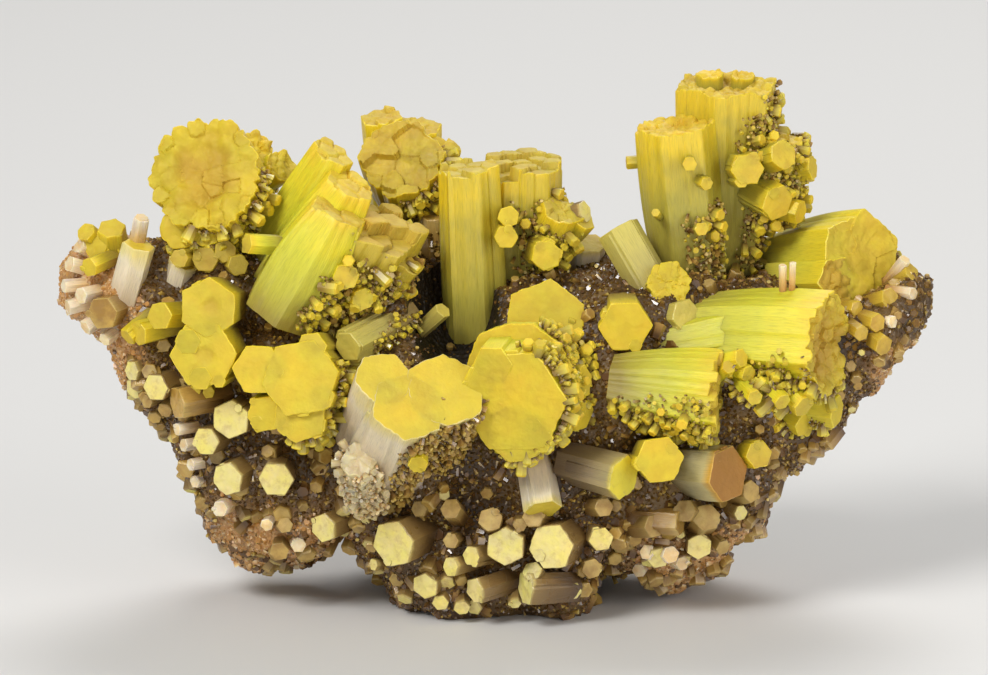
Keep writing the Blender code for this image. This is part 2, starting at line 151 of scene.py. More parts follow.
def addMasks(mesh, masks, domain="POINT"):
    for key, values in masks.items():
        mesh.attributes.new(key, "FLOAT", domain).data.foreach_set("value", values)


def meshFrom(name, shape, material):
    mesh = bpy.data.meshes.new(name)
    mesh.from_pydata([v * mm for v in shape["verts"]], [], shape["faces"])
    uvMap = mesh.uv_layers.new(name="UVMap")
    uvMap.data.foreach_set("uv", [c for uv in shape["uvs"] for c in uv])
    for key, domain in (("along", "POINT"), ("cap", "FACE"), ("tint", "FACE"), ("sink", "POINT")):
        addMasks(mesh, {key: shape[key]}, domain)
    mesh.materials.append(material)
    mesh.shade_smooth()
    mesh.set_sharp_from_angle(angle=0.5)
    return placed(name, mesh)


def joined(name, pieces):
    # one piece from several, keeping their materials and attributes
    bpy.ops.object.select_all(action="DESELECT")
    for p in pieces:
        p.select_set(True)
    bpy.context.view_layer.objects.active = pieces[0]
    if len(pieces) > 1:
        bpy.ops.object.join()
    pieces[0].name = name
    return pieces[0]


def claim(piece, node):
    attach(piece, "root")
    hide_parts(node)


def cellAt(x, y, pitch, seed):
    # the column that a point is in: its chance value, and the share of a column to its edge
    rowHeight = 0.866
    row = round(y / (pitch * rowHeight))
    nearest, second, value = 9e9, 9e9, 0
    for j in (row - 1, row, row + 1):
        shift = 0.5 * (j % 2)
        middle = round(x / pitch - shift)
        for i in (middle - 1, middle, middle + 1):
            scatter = math.sin(i * 127.1 + j * 311.7 + seed * 74.7) * 43758.5453
            away = math.hypot(x - (i + shift + (scatter % 1 - 0.5) * 0.7) * pitch,
                              y - (j * rowHeight + (scatter * 1.7 % 1 - 0.5) * 0.7) * pitch)
            if away < nearest:
                nearest, second, value = away, nearest, scatter * 2.3 % 1
            elif away < second:
                second = away
    return value, (second - nearest) / pitch


def addBarrel(shape, s, chance):
    # one swelling six-sided crystal, fluted down its sides, with columns of their own height at its end
    place = placeOf(s)
    radius, length, tint = s["radius"], s["length"], chance.random()
    seed = chance.uniform(5, 90)
    seedPoint = Vector((seed, seed * 0.37, seed * 0.11))
    sides = 6 * max(4, min(20, round(radius * grid["sidesPerMm"])) * s["fine"])
    groove, roundness, ragged = s["groove"], s["roundness"], s["ragged"]

    # sink: the crystal's own brown, plus painted shade where the end is hollow
    def push(x, y, z, along, dip=0.0):
        addPoint(shape, place @ Vector((x, y, z)), along, min(1, s["sink"] + dip * s["hollowShade"]))

    def columnAt(x, y):
        return cellAt(x, y, s["cells"], seed) if s["cells"] else (0.5, 1)

    def levelAt(x, y):
        value, gap = columnAt(x, y)
        point = Vector((x, y, 0))
        level = (value - 0.7) * s["step"] + x * s["slope"][0] + y * s["slope"][1]
        level -= s["seam"] * (1 - smooth(0, 0.2, gap))
        level += s["dome"] * (smooth(0, 0.9, gap) - 0.6)
        level += noise.noise(point * 1.4 + seedPoint) * s["grain"] * 1.5   # pits, then finer ones, then waves
        level += noise.noise(point * 3.3 + seedPoint) * s["grain"] * 0.5
        level += noise.noise(point * 0.35 + seedPoint) * s["wavy"]
        share = math.hypot(x, y) / radius + 0.25 * noise.noise(Vector((x, y, 9)) * 0.5 + seedPoint)
        dip = smooth(s["hollowWide"], s["hollowWide"] * 0.35, share)
        return level - s["hollow"] * dip, dip * min(s["hollow"], 1)

    angles = [2 * math.pi * k / sides for k in range(sides)]
    rim = []   # at each angle: reach, crease between columns, level
    for angle in angles:
        reach = min(hexReach(angle), 1 - s["worn"])
        reach = reach * (1 - roundness) + roundness * 0.94
        x, y = math.cos(angle) * radius * reach, math.sin(angle) * radius * reach
        reach *= 1 + 2 * ragged * noise.noise(Vector((x, y, 3)) * s["raggedScale"] + seedPoint)
        reach += 1.2 * ragged * noise.noise(Vector((x, y, 3)) * 1.7 + seedPoint)
        value, gap = columnAt(x, y)
        rim.append((reach + (value - 0.5) * s["bulge"], 1 - smooth(0, 0.3, gap), levelAt(x * 0.96, y * 0.96)[0]))

    first = len(shape["verts"])
    steps = max(3, round(length / grid["ringStep"]))
    shares = [i / steps for i in range(steps)] + [1 - 0.5 * grid["ringStep"] / length, 1]
    edge = min(grid["edge"], 0.05 * radius)
    for a in shares:
        swell = swellAt(s, a)
        for angle, (reach, crease, level) in zip(angles, rim):
            around = Vector((math.cos(angle), math.sin(angle), 0)) * radius
            ridge = noise.noise(around * 1.1 + Vector((0, 0, a * length * 0.05)) + seedPoint)
            ridge += 0.6 * noise.noise(around * 3.1 + Vector((0, 0, a * length * 0.1)) + seedPoint)
            out = reach * radius * swell
            out += s["flute"] * 2 * ridge - groove * crease * (0.3 + 0.7 * a)
            z = (a - 1) * length + level * smooth(0.45, 1, a) - edge * (a == 1)
            push(math.cos(angle) * out, math.sin(angle) * out, z, a)
    top = len(shares)
    capRings = max(3, round(radius / grid["capStep"] * s["fine"]))
    for i in range(capRings):
        for angle, (reach, crease, rimLevel) in zip(angles, rim):
            out = (reach * radius - groove * crease - edge) * (1 - i / capRings)
            x, y = math.cos(angle) * out, math.sin(angle) * out
            level, dip = levelAt(x, y) if i else (rimLevel, 0)
            push(x, y, level, 1, dip)
    level, dip = levelAt(0, 0)
    push(0, 0, level, 1, dip)

    arc = 2 * math.pi * radius / sides
    for i in range(top + capRings - 1):
        low, high = first + i * sides, first + (i + 1) * sides
        for k, angle in enumerate(angles):
            after = (k + 1) % sides
            corners = (low + k, low + after, high + after, high + k)
            if i >= top:
                addFlat(shape, corners, tint * 0.5 + 0.4)
            else:
                value = columnAt(math.cos(angle) * radius * 0.95, math.sin(angle) * radius * 0.95)[0]
                addSide(shape, corners, seed + k * arc, seed + (k + 1) * arc, shares[i] * length,
                        shares[min(i + 1, top - 1)] * length, tint * 0.5 + (0.3 + value * 0.2))
    last, centre = first + (top + capRings - 1) * sides, len(shape["verts"]) - 1
    for k in range(sides):
        addFlat(shape, (last + k, last + (k + 1) % sides, centre), tint * 0.5 + 0.4)
    for k in range(1, sides - 1):
        addFlat(shape, (first + k + 1, first + k, first), tint * 0.5 + 0.4)


def addStem(shape, s, chance):
    # the crystal, and the narrower ones that are grown into its sides
    addBarrel(shape, s, chance)
    for i in range(s["lobes"]):
        angle = chance.uniform(0, 2 * math.pi)
        radius = s["radius"] * chance.uniform(*s["lobeSize"])
        out = s["radius"] * hexReach(angle) - radius * chance.uniform(0.5, 0.8)
        drop = s["drop"] * chance.uniform(-0.3, 1) * s["radius"]
        tip = placeOf(s) @ Vector((math.cos(angle) * out, math.sin(angle) * out, -drop))
        lobe = dict(s, tip=tip, radius=radius, length=s["length"] * 0.8, root=0.95, belly=0, hollow=0, cells=0,
                    slope=(0, 0))
        addBarrel(shape, lobe, chance)


def flankSkin(name, stems):
    # the barrels' outsides, marked where small crystals have grown on them
    shape = newShape()
    masks = dict(growth=[], coarse=[], dull=[], crusty=[])
    for s in stems:
        if not s["flank"]:
            continue
        rings = [((a - 1) * s["length"], s["radius"] * swellAt(s, a) * 0.94, a) for a in grid["flankRings"]]
        start = len(shape["verts"])
        addPrism(shape, placeOf(s), rings, 0, sides=grid["flankSides"], ends=False)
        toward = Vector(s["flankSide"]).normalized()
        axis = growthLine(s)
        for v, along in zip(shape["verts"][start:], shape["along"][start:]):
            out = (v - (s["tip"] - axis * s["length"] * (1 - along))).normalized()
            facing = out.dot(toward) + 0.5 * noise.noise(v * 0.35 + s["tip"] * 0.3)
            grown = smooth(s["flankFrom"], s["flankFrom"] + 0.35, facing)
            grown *= 1 - smooth(s["flankTop"], s["flankTop"] + 0.1, along)
            grown *= s["flank"]
            clean = grown * (1 - s["dull"]) * (1 - s["crusty"])
            for key, value in (("growth", clean), ("coarse", clean * s["coarse"]), ("dull", grown * s["dull"]),
                               ("crusty", grown * s["crusty"])):
                masks[key].append(value)
    if not shape["verts"]:
        return None
    skin = meshFrom(name, shape, rock)
    for key in ("along", "cap", "tint", "sink", "UVMap"):
        skin.data.attributes.remove(skin.data.attributes[key])
    addMasks(skin.data, masks)
    return skin


def addNode(tree, kind, inputs=None, **settings):
    made = tree.nodes.new(kind)
    for key, value in settings.items():
        setattr(made, key, value)
    for key, value in (inputs or {}).items():
        if isinstance(value, bpy.types.NodeSocket):
            tree.links.new(value, made.inputs[key])
        else:
            made.inputs[key].default_value = value
    return made


def rampOf(tree, value, stops):
    # stops: place, red, green, blue
    made = addNode(tree, "ShaderNodeValToRGB", {0: value})
    bar = made.color_ramp.elements
    while len(bar) < len(stops):
        bar.new(0.5)
    for element, (place, *colour) in zip(bar, stops):
        element.position = place
        element.color = (*colour, 1)
    return made.outputs[0]


def mixOf(tree, share, one, two, mode="MIX"):
    sides = {key: value if isinstance(value, bpy.types.NodeSocket) else (*value, 1)
             for key, value in ((6, one), (7, two))}
    return addNode(tree, "ShaderNodeMix", {0: share, **sides}, data_type="RGBA", blend_type=mode).outputs[2]


def mathOf(tree, kind, one, two=0.0, three=0.5):
    return addNode(tree, "ShaderNodeMath", {0: one, 1: two, 2: three}, operation=kind).outputs[0]


def vectorOf(tree, kind, inputs):
    return addNode(tree, "ShaderNodeVectorMath", inputs, operation=kind).outputs


def attributeOf(tree, name):
    return addNode(tree, "ShaderNodeAttribute", attribute_name=name).outputs["Fac"]


def noiseOf(tree, spot, scale, detail, roughness=0.5):
    return addNode(tree, "ShaderNodeTexNoise", {"Vector": spot, "Scale": scale, "Detail": detail,
                                                "Roughness": roughness}).outputs[0]


def storeOf(tree, name, geometry, value, domain="POINT"):
    return addNode(tree, "GeometryNodeStoreNamedAttribute", {"Name": name, "Geometry": geometry, "Value": value},
                   domain=domain).outputs[0]


def namedOf(tree, name):
    return addNode(tree, "GeometryNodeInputNamedAttribute", {"Name": name}, data_type="FLOAT").outputs[0]


def druseTree():
    tree = bpy.data.node_groups.new("grow druse", "GeometryNodeTree")
    for name, kind in (("Geometry", "Geometry"), ("Spacing", "Float"), ("Thin", "Float"), ("Thick", "Float"),
                       ("Length", "Float"), ("Tilt", "Float"), ("Rings", "Int"), ("Mask", "String"),
                       ("Seed", "Int"), ("Material", "Material")):
        tree.interface.new_socket(name, in_out="INPUT", socket_type="NodeSocket" + kind)
    tree.interface.new_socket("Geometry", in_out="OUTPUT", socket_type="NodeSocketGeometry")
    given = addNode(tree, "NodeGroupInput").outputs

    # one small crystal along Z; 2 rings give its end a bevel
    prism = addNode(tree, "GeometryNodeMeshCylinder", {"Vertices": 6, "Radius": 1, "Depth": 1,
                                                       "Fill Segments": given["Rings"]})
    lift = addNode(tree, "GeometryNodeTransform", {"Translation": (0, 0, 0.32), "Geometry": prism.outputs["Mesh"]})
    place = addNode(tree, "GeometryNodeInputPosition").outputs[0]
    split = addNode(tree, "ShaderNodeSeparateXYZ", {0: place}).outputs
    shaded = storeOf(tree, "along", lift.outputs[0], split["Z"])
    level = addNode(tree, "ShaderNodeCombineXYZ", {"X": split["X"], "Y": split["Y"]}).outputs[0]
    inner = mathOf(tree, "LESS_THAN", vectorOf(tree, "LENGTH", {0: level})["Value"], 0.75)
    raised = vectorOf(tree, "SCALE", {0: (0, 0, 0.12), "Scale": inner})[0]
    rootScale = addNode(tree, "ShaderNodeMapRange", {"To Min": 0.7, "Value": split["Z"]}).outputs[0]
    wide = mathOf(tree, "MULTIPLY", rootScale, mathOf(tree, "MULTIPLY_ADD", inner, 0.6, 1))
    both = addNode(tree, "ShaderNodeCombineXYZ", {"X": wide, "Y": wide, "Z": 1}).outputs[0]
    narrow = addNode(tree, "GeometryNodeSetPosition", {   # a little narrower at its root
        "Geometry": shaded, "Position": vectorOf(tree, "MULTIPLY", {0: place, 1: both})[0], "Offset": raised})
    facing = addNode(tree, "ShaderNodeSeparateXYZ", {0: addNode(tree, "GeometryNodeInputNormal").outputs[0]})
    onEnd = addNode(tree, "FunctionNodeCompare", {0: facing.outputs["Z"], 1: 0.7}, data_type="FLOAT",
                    operation="GREATER_THAN")
    crystal = storeOf(tree, "cap", narrow.outputs[0], onEnd.outputs[0], "FACE")

    # points over the skin, each with its own lean, thickness and length
    scatter = addNode(tree, "GeometryNodeDistributePointsOnFaces", {
        "Mesh": given["Geometry"], "Distance Min": given["Spacing"], "Density Max": 3e7,
        "Density Factor": namedOf(tree, given["Mask"]), "Seed": given["Seed"]}, distribute_method="POISSON")
    lean = addNode(tree, "FunctionNodeRandomValue", {"Min": (-1, -1, -1), "Seed": given["Seed"]},
                   data_type="FLOAT_VECTOR")
    leaned = vectorOf(tree, "SCALE", {0: lean.outputs["Value"], "Scale": given["Tilt"]})[0]
    heading = vectorOf(tree, "ADD", {0: leaned, 1: scatter.outputs["Normal"]})[0]
    aimed = addNode(tree, "FunctionNodeAlignRotationToVector", {"Vector": heading}, axis="Z")
    width = addNode(tree, "FunctionNodeRandomValue", {2: given["Thin"], 3: given["Thick"],
                                                      "Seed": given["Seed"]}).outputs[1]
    ratio = addNode(tree, "FunctionNodeRandomValue", {
        2: 0.7, 3: 1.6, "Seed": mathOf(tree, "ADD", given["Seed"], 17)}).outputs[1]
    tall = mathOf(tree, "MULTIPLY", mathOf(tree, "MULTIPLY", ratio, given["Length"]), width)
    sizes = addNode(tree, "ShaderNodeCombineXYZ", {"X": width, "Y": width, "Z": tall})
    grown = addNode(tree, "GeometryNodeInstanceOnPoints", {
        "Points": scatter.outputs["Points"], "Instance": crystal, "Rotation": aimed.outputs[0],
        "Scale": sizes.outputs[0]})
    chance = addNode(tree, "FunctionNodeRandomValue").outputs[1]
    real = addNode(tree, "GeometryNodeRealizeInstances", {
        0: storeOf(tree, "chance", grown.outputs[0], chance, "INSTANCE")})
    tinted = storeOf(tree, "tint", real.outputs[0], namedOf(tree, "chance"), "FACE")   # as on the larger crystals
    forget = addNode(tree, "GeometryNodeRemoveAttribute", {"Name": "chance", "Geometry": tinted})
    painted = addNode(tree, "GeometryNodeSetMaterial", {"Geometry": forget.outputs[0],
                                                        "Material": given["Material"]})
    addNode(tree, "NodeGroupOutput", {0: painted.outputs[0]})
    return tree


def growDruse(name, skin, seed, material, spacing, thin, thick, length, tilt, mask="growth", rings=1):
    # the crystals that grow on the skin, as a plain mesh
    modifier = skin.modifiers.new("grow", "NODES")
    modifier.node_group = growTree
    values = dict(Spacing=spacing * mm, Thin=thin * mm, Thick=thick * mm, Length=length,
                  Tilt=tilt, Rings=rings, Mask=mask, Seed=seed, Material=material)
    for item in growTree.interface.items_tree:
        if item.in_out == "INPUT" and item.name in values:
            modifier[item.identifier] = values[item.name]
    graph = bpy.context.evaluated_depsgraph_get()
    mesh = bpy.data.meshes.new_from_object(skin.evaluated_get(graph))
    skin.modifiers.remove(modifier)
    mesh.name = name
    mesh.materials.clear()
    mesh.materials.append(material)
    mesh.polygons.foreach_set("material_index", [0] * len(mesh.polygons))
    return placed(name, mesh)


def crystalMaterial(name, look):
    made = bpy.data.materials.new(name)
    made.use_nodes = True
    tree = made.node_tree
    shader = tree.nodes["Principled BSDF"]
    given = addNode(tree, "ShaderNodeTexCoord").outputs
    spot = given["Object"]
    along, cap, tint, sink = (attributeOf(tree, key) for key in ("along", "cap", "tint", "sink"))

    # sides: zoned from root to end, with fine striations lengthwise
    wave = mathOf(tree, "SUBTRACT", noiseOf(tree, spot, 260, 2), 0.5)
    shifted = mathOf(tree, "ADD", along, mathOf(tree, "MULTIPLY", wave, 0.5))
    stretch = addNode(tree, "ShaderNodeMapping", {"Vector": given["UV"], "Scale": (9, 0.55, 1)})
    lines = noiseOf(tree, stretch.outputs[0], 1, 4, 0.65)
    lineShade = rampOf(tree, lines, ((0.3, 0.72, 0.72, 0.72), (0.5, 1, 1, 1), (0.72, 1.12, 1.12, 1.08)))
    side = mixOf(tree, 0.8, rampOf(tree, shifted, look["zones"]), lineShade, "MULTIPLY")

    # ends: matt, mottled, browner where hollow, partly the crystal's own orange brown and partly painted shade
    spots = rampOf(tree, noiseOf(tree, spot, 520, 6, 0.6), ((0.38, 0, 0, 0), (0.62, 1, 1, 1)))
    end = mixOf(tree, spots, look["end"], look["endTwo"])
    if "stain" in look:
        dirt = rampOf(tree, noiseOf(tree, spot, 1100, 5, 0.7), ((0.5, 0, 0, 0), (0.66, 1, 1, 1)))
        end = mixOf(tree, mathOf(tree, "MULTIPLY", dirt, look["stain"]), end, look["hollow"])
    patch = noiseOf(tree, spot, 150, 3)
    broad = rampOf(tree, patch, ((0.35, 1, 0.93, 0.8), (0.5, 0.93, 0.93, 1), (0.68, 0.8, 0.84, 1)))
    end = mixOf(tree, 1, end, broad, "MULTIPLY")
    end = mixOf(tree, mathOf(tree, "MULTIPLY", tint, look.get("vary", 0.25)), end, look["endTwo"])
    # the hollow's brown: partly the crystal's own colour, partly painted shade in the recess
    hollow = addNode(tree, "ShaderNodeMath", {0: sink, 1: mathOf(tree, "MULTIPLY_ADD", patch, 1.2, 0.5)},
                     operation="MULTIPLY", use_clamp=True)
    end = mixOf(tree, hollow.outputs[0], end, look["hollow"])
    lift = rampOf(tree, tint, ((0, 0.8, 0.8, 0.8), (1, 1.1, 1.1, 1.1)))
    colour = mixOf(tree, look.get("tint", 0.7), mixOf(tree, cap, side, end), lift, "MULTIPLY")
    tree.links.new(colour, shader.inputs["Base Color"])

    # surface: granular ends, ribbed sides
    cells = addNode(tree, "ShaderNodeTexVoronoi", {"Vector": spot, "Scale": 1400})
    pits = mathOf(tree, "MULTIPLY", cells.outputs["Distance"], 0.6)
    rough = mathOf(tree, "ADD", noiseOf(tree, spot, 2600, 3), pits)
    height = addNode(tree, "ShaderNodeMix", {0: cap, 2: lines, 3: rough}, data_type="FLOAT")
    bump = addNode(tree, "ShaderNodeBump", {"Strength": look.get("relief", 0.5), "Distance": 0.00012,
                                            "Height": height.outputs[0]})
    tree.links.new(bump.outputs[0], shader.inputs["Normal"])
    gloss = addNode(tree, "ShaderNodeMix", {0: cap, 2: look["sideRoughness"], 3: look["endRoughness"]},
                    data_type="FLOAT")
    varied = mathOf(tree, "ADD", gloss.outputs[0], mathOf(tree, "MULTIPLY", wave, 0.25))
    tree.links.new(varied, shader.inputs["Roughness"])
    for key, value in (("Subsurface Weight", look.get("glow", 0.2)), ("Subsurface Radius", (1, 0.7, 0.15)),
                       ("Subsurface Scale", 0.0012), ("IOR", look.get("index", 1.65))):
        shader.inputs[key].default_value = value
    return made


goldLook = dict(
    zones=((0, 0.2, 0.12, 0.03), (0.4, 0.46, 0.35, 0.05), (0.75, 0.66, 0.52, 0.03), (1, 0.84, 0.62, 0.02)),
    end=(0.74, 0.555, 0.014), endTwo=(0.66, 0.46, 0.014), hollow=(0.48, 0.27, 0.02),
    sideRoughness=0.4, endRoughness=0.72, glow=0.2)
limeLook = dict(
    zones=((0, 0.34, 0.27, 0.05), (0.3, 0.56, 0.52, 0.05), (0.6, 0.66, 0.62, 0.03),
           (0.85, 0.8, 0.68, 0.02), (1, 0.84, 0.6, 0.02)),
    end=(0.76, 0.58, 0.025), endTwo=(0.62, 0.43, 0.025), hollow=(0.48, 0.29, 0.02),
    sideRoughness=0.48, endRoughness=0.66, glow=0.25)
oliveLook = dict(
    zones=((0, 0.24, 0.16, 0.05), (0.25, 0.34, 0.28, 0.05), (0.55, 0.43, 0.37, 0.05),
           (0.8, 0.56, 0.44, 0.035), (1, 0.8, 0.58, 0.02)),
    end=(0.82, 0.6, 0.02), endTwo=(0.68, 0.46, 0.02), hollow=(0.52, 0.34, 0.03),
    sideRoughness=0.34, endRoughness=0.66, glow=0.22)
wedgeLook = dict(
    zones=((0, 0.3, 0.2, 0.07), (0.5, 0.46, 0.38, 0.1), (1, 0.6, 0.5, 0.1)),
    end=(0.66, 0.54, 0.08), endTwo=(0.5, 0.4, 0.06), hollow=(0.4, 0.2, 0.05),
    sideRoughness=0.4, endRoughness=0.6, glow=0.15)
paleLook = dict(
    zones=((0, 0.4, 0.27, 0.14), (0.35, 0.66, 0.53, 0.36), (0.85, 0.82, 0.71, 0.5), (1, 0.8, 0.66, 0.24)),
    end=(0.77, 0.58, 0.03), endTwo=(0.7, 0.51, 0.03), hollow=(0.4, 0.2, 0.05),
    sideRoughness=0.34, endRoughness=0.66, glow=0.2)
creamLook = dict(
    zones=((0, 0.09, 0.045, 0.015), (0.6, 0.2, 0.115, 0.035), (0.93, 0.3, 0.19, 0.06), (1, 0.55, 0.42, 0.14)),
    end=(0.92, 0.8, 0.13), endTwo=(0.82, 0.68, 0.26), hollow=(0.4, 0.23, 0.06),
    sideRoughness=0.3, endRoughness=0.7, glow=0.12, vary=0.7, stain=0.6)
brownLook = dict(
    zones=((0, 0.16, 0.09, 0.03), (0.5, 0.45, 0.4, 0.22), (0.85, 0.56, 0.48, 0.22), (1, 0.6, 0.34, 0.05)),
    end=(0.5, 0.25, 0.02), endTwo=(0.4, 0.18, 0.015), hollow=(0.36, 0.15, 0.01),
    sideRoughness=0.34, endRoughness=0.6, glow=0.15)
amberLook = dict(    # brown see-through prisms on the matrix
    zones=((0, 0.12, 0.055, 0.014), (0.4, 0.26, 0.14, 0.035), (0.85, 0.42, 0.25, 0.06), (1, 0.56, 0.38, 0.11)),
    end=(0.62, 0.42, 0.09), endTwo=(0.36, 0.2, 0.035), hollow=(0.2, 0.1, 0.03),
    sideRoughness=0.2, endRoughness=0.35, glow=0.1, tint=1)
sproutLook = dict(   # the small crystals on the barrels' flanks
    zones=((0, 0.26, 0.16, 0.03), (0.4, 0.48, 0.36, 0.05), (0.8, 0.7, 0.58, 0.06), (1, 0.82, 0.66, 0.06)),
    end=(0.86, 0.66, 0.04), endTwo=(0.74, 0.52, 0.03), hollow=(0.5, 0.3, 0.04),
    sideRoughness=0.22, endRoughness=0.45, glow=0.2, tint=1)
sproutFineLook = dict(
    zones=((0, 0.12, 0.06, 0.02), (0.5, 0.26, 0.16, 0.05), (1, 0.55, 0.4, 0.12)),
    end=(0.62, 0.46, 0.12), endTwo=(0.36, 0.24, 0.07), hollow=(0.3, 0.2, 0.05),
    sideRoughness=0.18, endRoughness=0.3, glow=0.1, tint=1)
crustLook = dict(    # pale grains on the outer edges
    zones=((0, 0.52, 0.25, 0.07), (0.5, 0.76, 0.5, 0.22), (1, 0.95, 0.8, 0.58)),
    end=(0.95, 0.85, 0.55), endTwo=(0.82, 0.56, 0.24), hollow=(0.4, 0.2, 0.05),
    sideRoughness=0.3, endRoughness=0.5, glow=0.25, tint=1)
druseLook = dict(    # the fine dark crystals between
    zones=((0, 0.11, 0.055, 0.01), (0.5, 0.32, 0.19, 0.036), (0.85, 0.58, 0.4, 0.085), (1, 0.8, 0.62, 0.18)),
    end=(0.78, 0.6, 0.16), endTwo=(0.44, 0.29, 0.06), hollow=(0.1, 0.05, 0.02),
    sideRoughness=0.2, endRoughness=0.28, glow=0, tint=1, relief=0.2, index=1.5)
tanLook = dict(      # dull stained prisms low on the matrix
    zones=((0, 0.1, 0.05, 0.012), (0.6, 0.22, 0.12, 0.03), (1, 0.42, 0.28, 0.08)),
    end=(0.6, 0.42, 0.11), endTwo=(0.36, 0.21, 0.045), hollow=(0.3, 0.2, 0.08),
    sideRoughness=0.35, endRoughness=0.6, glow=0.1, tint=0.8)
beadLook = dict(     # round golden brown crystals on the right end
    zones=((0, 0.22, 0.11, 0.02), (0.6, 0.42, 0.26, 0.03), (1, 0.66, 0.46, 0.04)),
    end=(0.72, 0.5, 0.04), endTwo=(0.55, 0.34, 0.03), hollow=(0.3, 0.2, 0.04),
    sideRoughness=0.3, endRoughness=0.5, glow=0.15, tint=0.9)
umberLook = dict(    # grey brown sides under a yellow end
    zones=((0, 0.14, 0.09, 0.05), (0.5, 0.26, 0.19, 0.1), (0.9, 0.38, 0.3, 0.13), (1, 0.62, 0.5, 0.1)),
    end=(0.95, 0.78, 0.04), endTwo=(0.88, 0.7, 0.04), hollow=(0.4, 0.25, 0.05),
    sideRoughness=0.38, endRoughness=0.66, glow=0.15)


def rockMaterial():
    made = bpy.data.materials.new("brown rock")
    made.use_nodes = True
    tree = made.node_tree
    shader = tree.nodes["Principled BSDF"]
    spot = addNode(tree, "ShaderNodeTexCoord").outputs["Object"]
    fine = noiseOf(tree, spot, 1500, 4)
    dark = rampOf(tree, noiseOf(tree, spot, 180, 5), (
        (0.3, 0.04, 0.019, 0.006), (0.5, 0.09, 0.048, 0.014), (0.7, 0.18, 0.105, 0.03)))
    warm = rampOf(tree, fine, ((0.35, 0.46, 0.2, 0.05), (0.65, 0.8, 0.5, 0.22)))
    colour = mixOf(tree, attributeOf(tree, "stain"), dark, warm)
    # painted shade: near black where the dark mask marks the hollow, where shade falls
    colour = mixOf(tree, attributeOf(tree, "dark"), colour, (0.012, 0.006, 0.003))
    tree.links.new(colour, shader.inputs["Base Color"])
    grains = addNode(tree, "ShaderNodeTexVoronoi", {"Vector": spot, "Scale": 1900})
    height = mathOf(tree, "ADD", fine, grains.outputs["Distance"])
    bump = addNode(tree, "ShaderNodeBump", {"Strength": 0.8, "Distance": 0.0002, "Height": height})
    tree.links.new(bump.outputs[0], shader.inputs["Normal"])
    shader.inputs["Roughness"].default_value = 0.45
    return made


rock = rockMaterial()
finishLooks = dict(
    gold=("golden crystal", goldLook), lime=("lime crystal", limeLook), pale=("pale crystal", paleLook),
    cream=("cream crystal", creamLook), brown=("brown crystal", brownLook), olive=("olive crystal", oliveLook),
    wedge=("olive wedge", wedgeLook), tan=("tan crystal", tanLook), umber=("umber sided crystal", umberLook),
    bead=("golden brown beads", beadLook), amber=("amber crystals", amberLook), crust=("pale crust", crustLook),
    druse=("dark druse", druseLook), sprout=("sprouting crystals", sproutLook),
    sproutFine=("fine sprouts", sproutFineLook),
    sproutLarge=("large sprouts", dict(sproutLook, end=(0.88, 0.66, 0.015), endTwo=(0.8, 0.54, 0.02),
                                       sideRoughness=0.42, endRoughness=0.66)),
    greenGold=("green golden crystal", dict(goldLook, zones=limeLook["zones"])),
    honey=("honey crystal", dict(goldLook, end=(0.66, 0.49, 0.03), endTwo=(0.54, 0.37, 0.03))),
    ochre=("ochre crystal", dict(
        goldLook, end=(0.6, 0.43, 0.03), endTwo=(0.5, 0.33, 0.025),
        zones=((0, 0.24, 0.14, 0.03), (0.5, 0.44, 0.31, 0.035), (1, 0.6, 0.45, 0.035)))),
    # gold with lighter lime sides: partly the crystal's own lime tone, partly painted light where the sides fall in
    # shade
    litLime=("bright lime crystal", dict(
        goldLook, zones=((0, 0.6, 0.52, 0.07), (0.5, 0.74, 0.66, 0.06), (1, 0.84, 0.66, 0.03)))),
    # olive with darker ends: painted shade on upward tops that the lamps above light strongly
    shadedOlive=("sage crystal", dict(oliveLook, end=(0.64, 0.5, 0.03), endTwo=(0.52, 0.38, 0.03),
                               hollow=(0.42, 0.26, 0.03))),
    paleGrain=("pale green grains", dict(crustLook, end=(0.72, 0.64, 0.36), endTwo=(0.6, 0.46, 0.24),
                                         zones=((0, 0.4, 0.28, 0.14), (1, 0.66, 0.56, 0.3)))))
finishes = {key: crystalMaterial(name, look) for key, (name, look) in finishLooks.items()}
growTree = druseTree()
print("specimen: finishes and growth tree made")


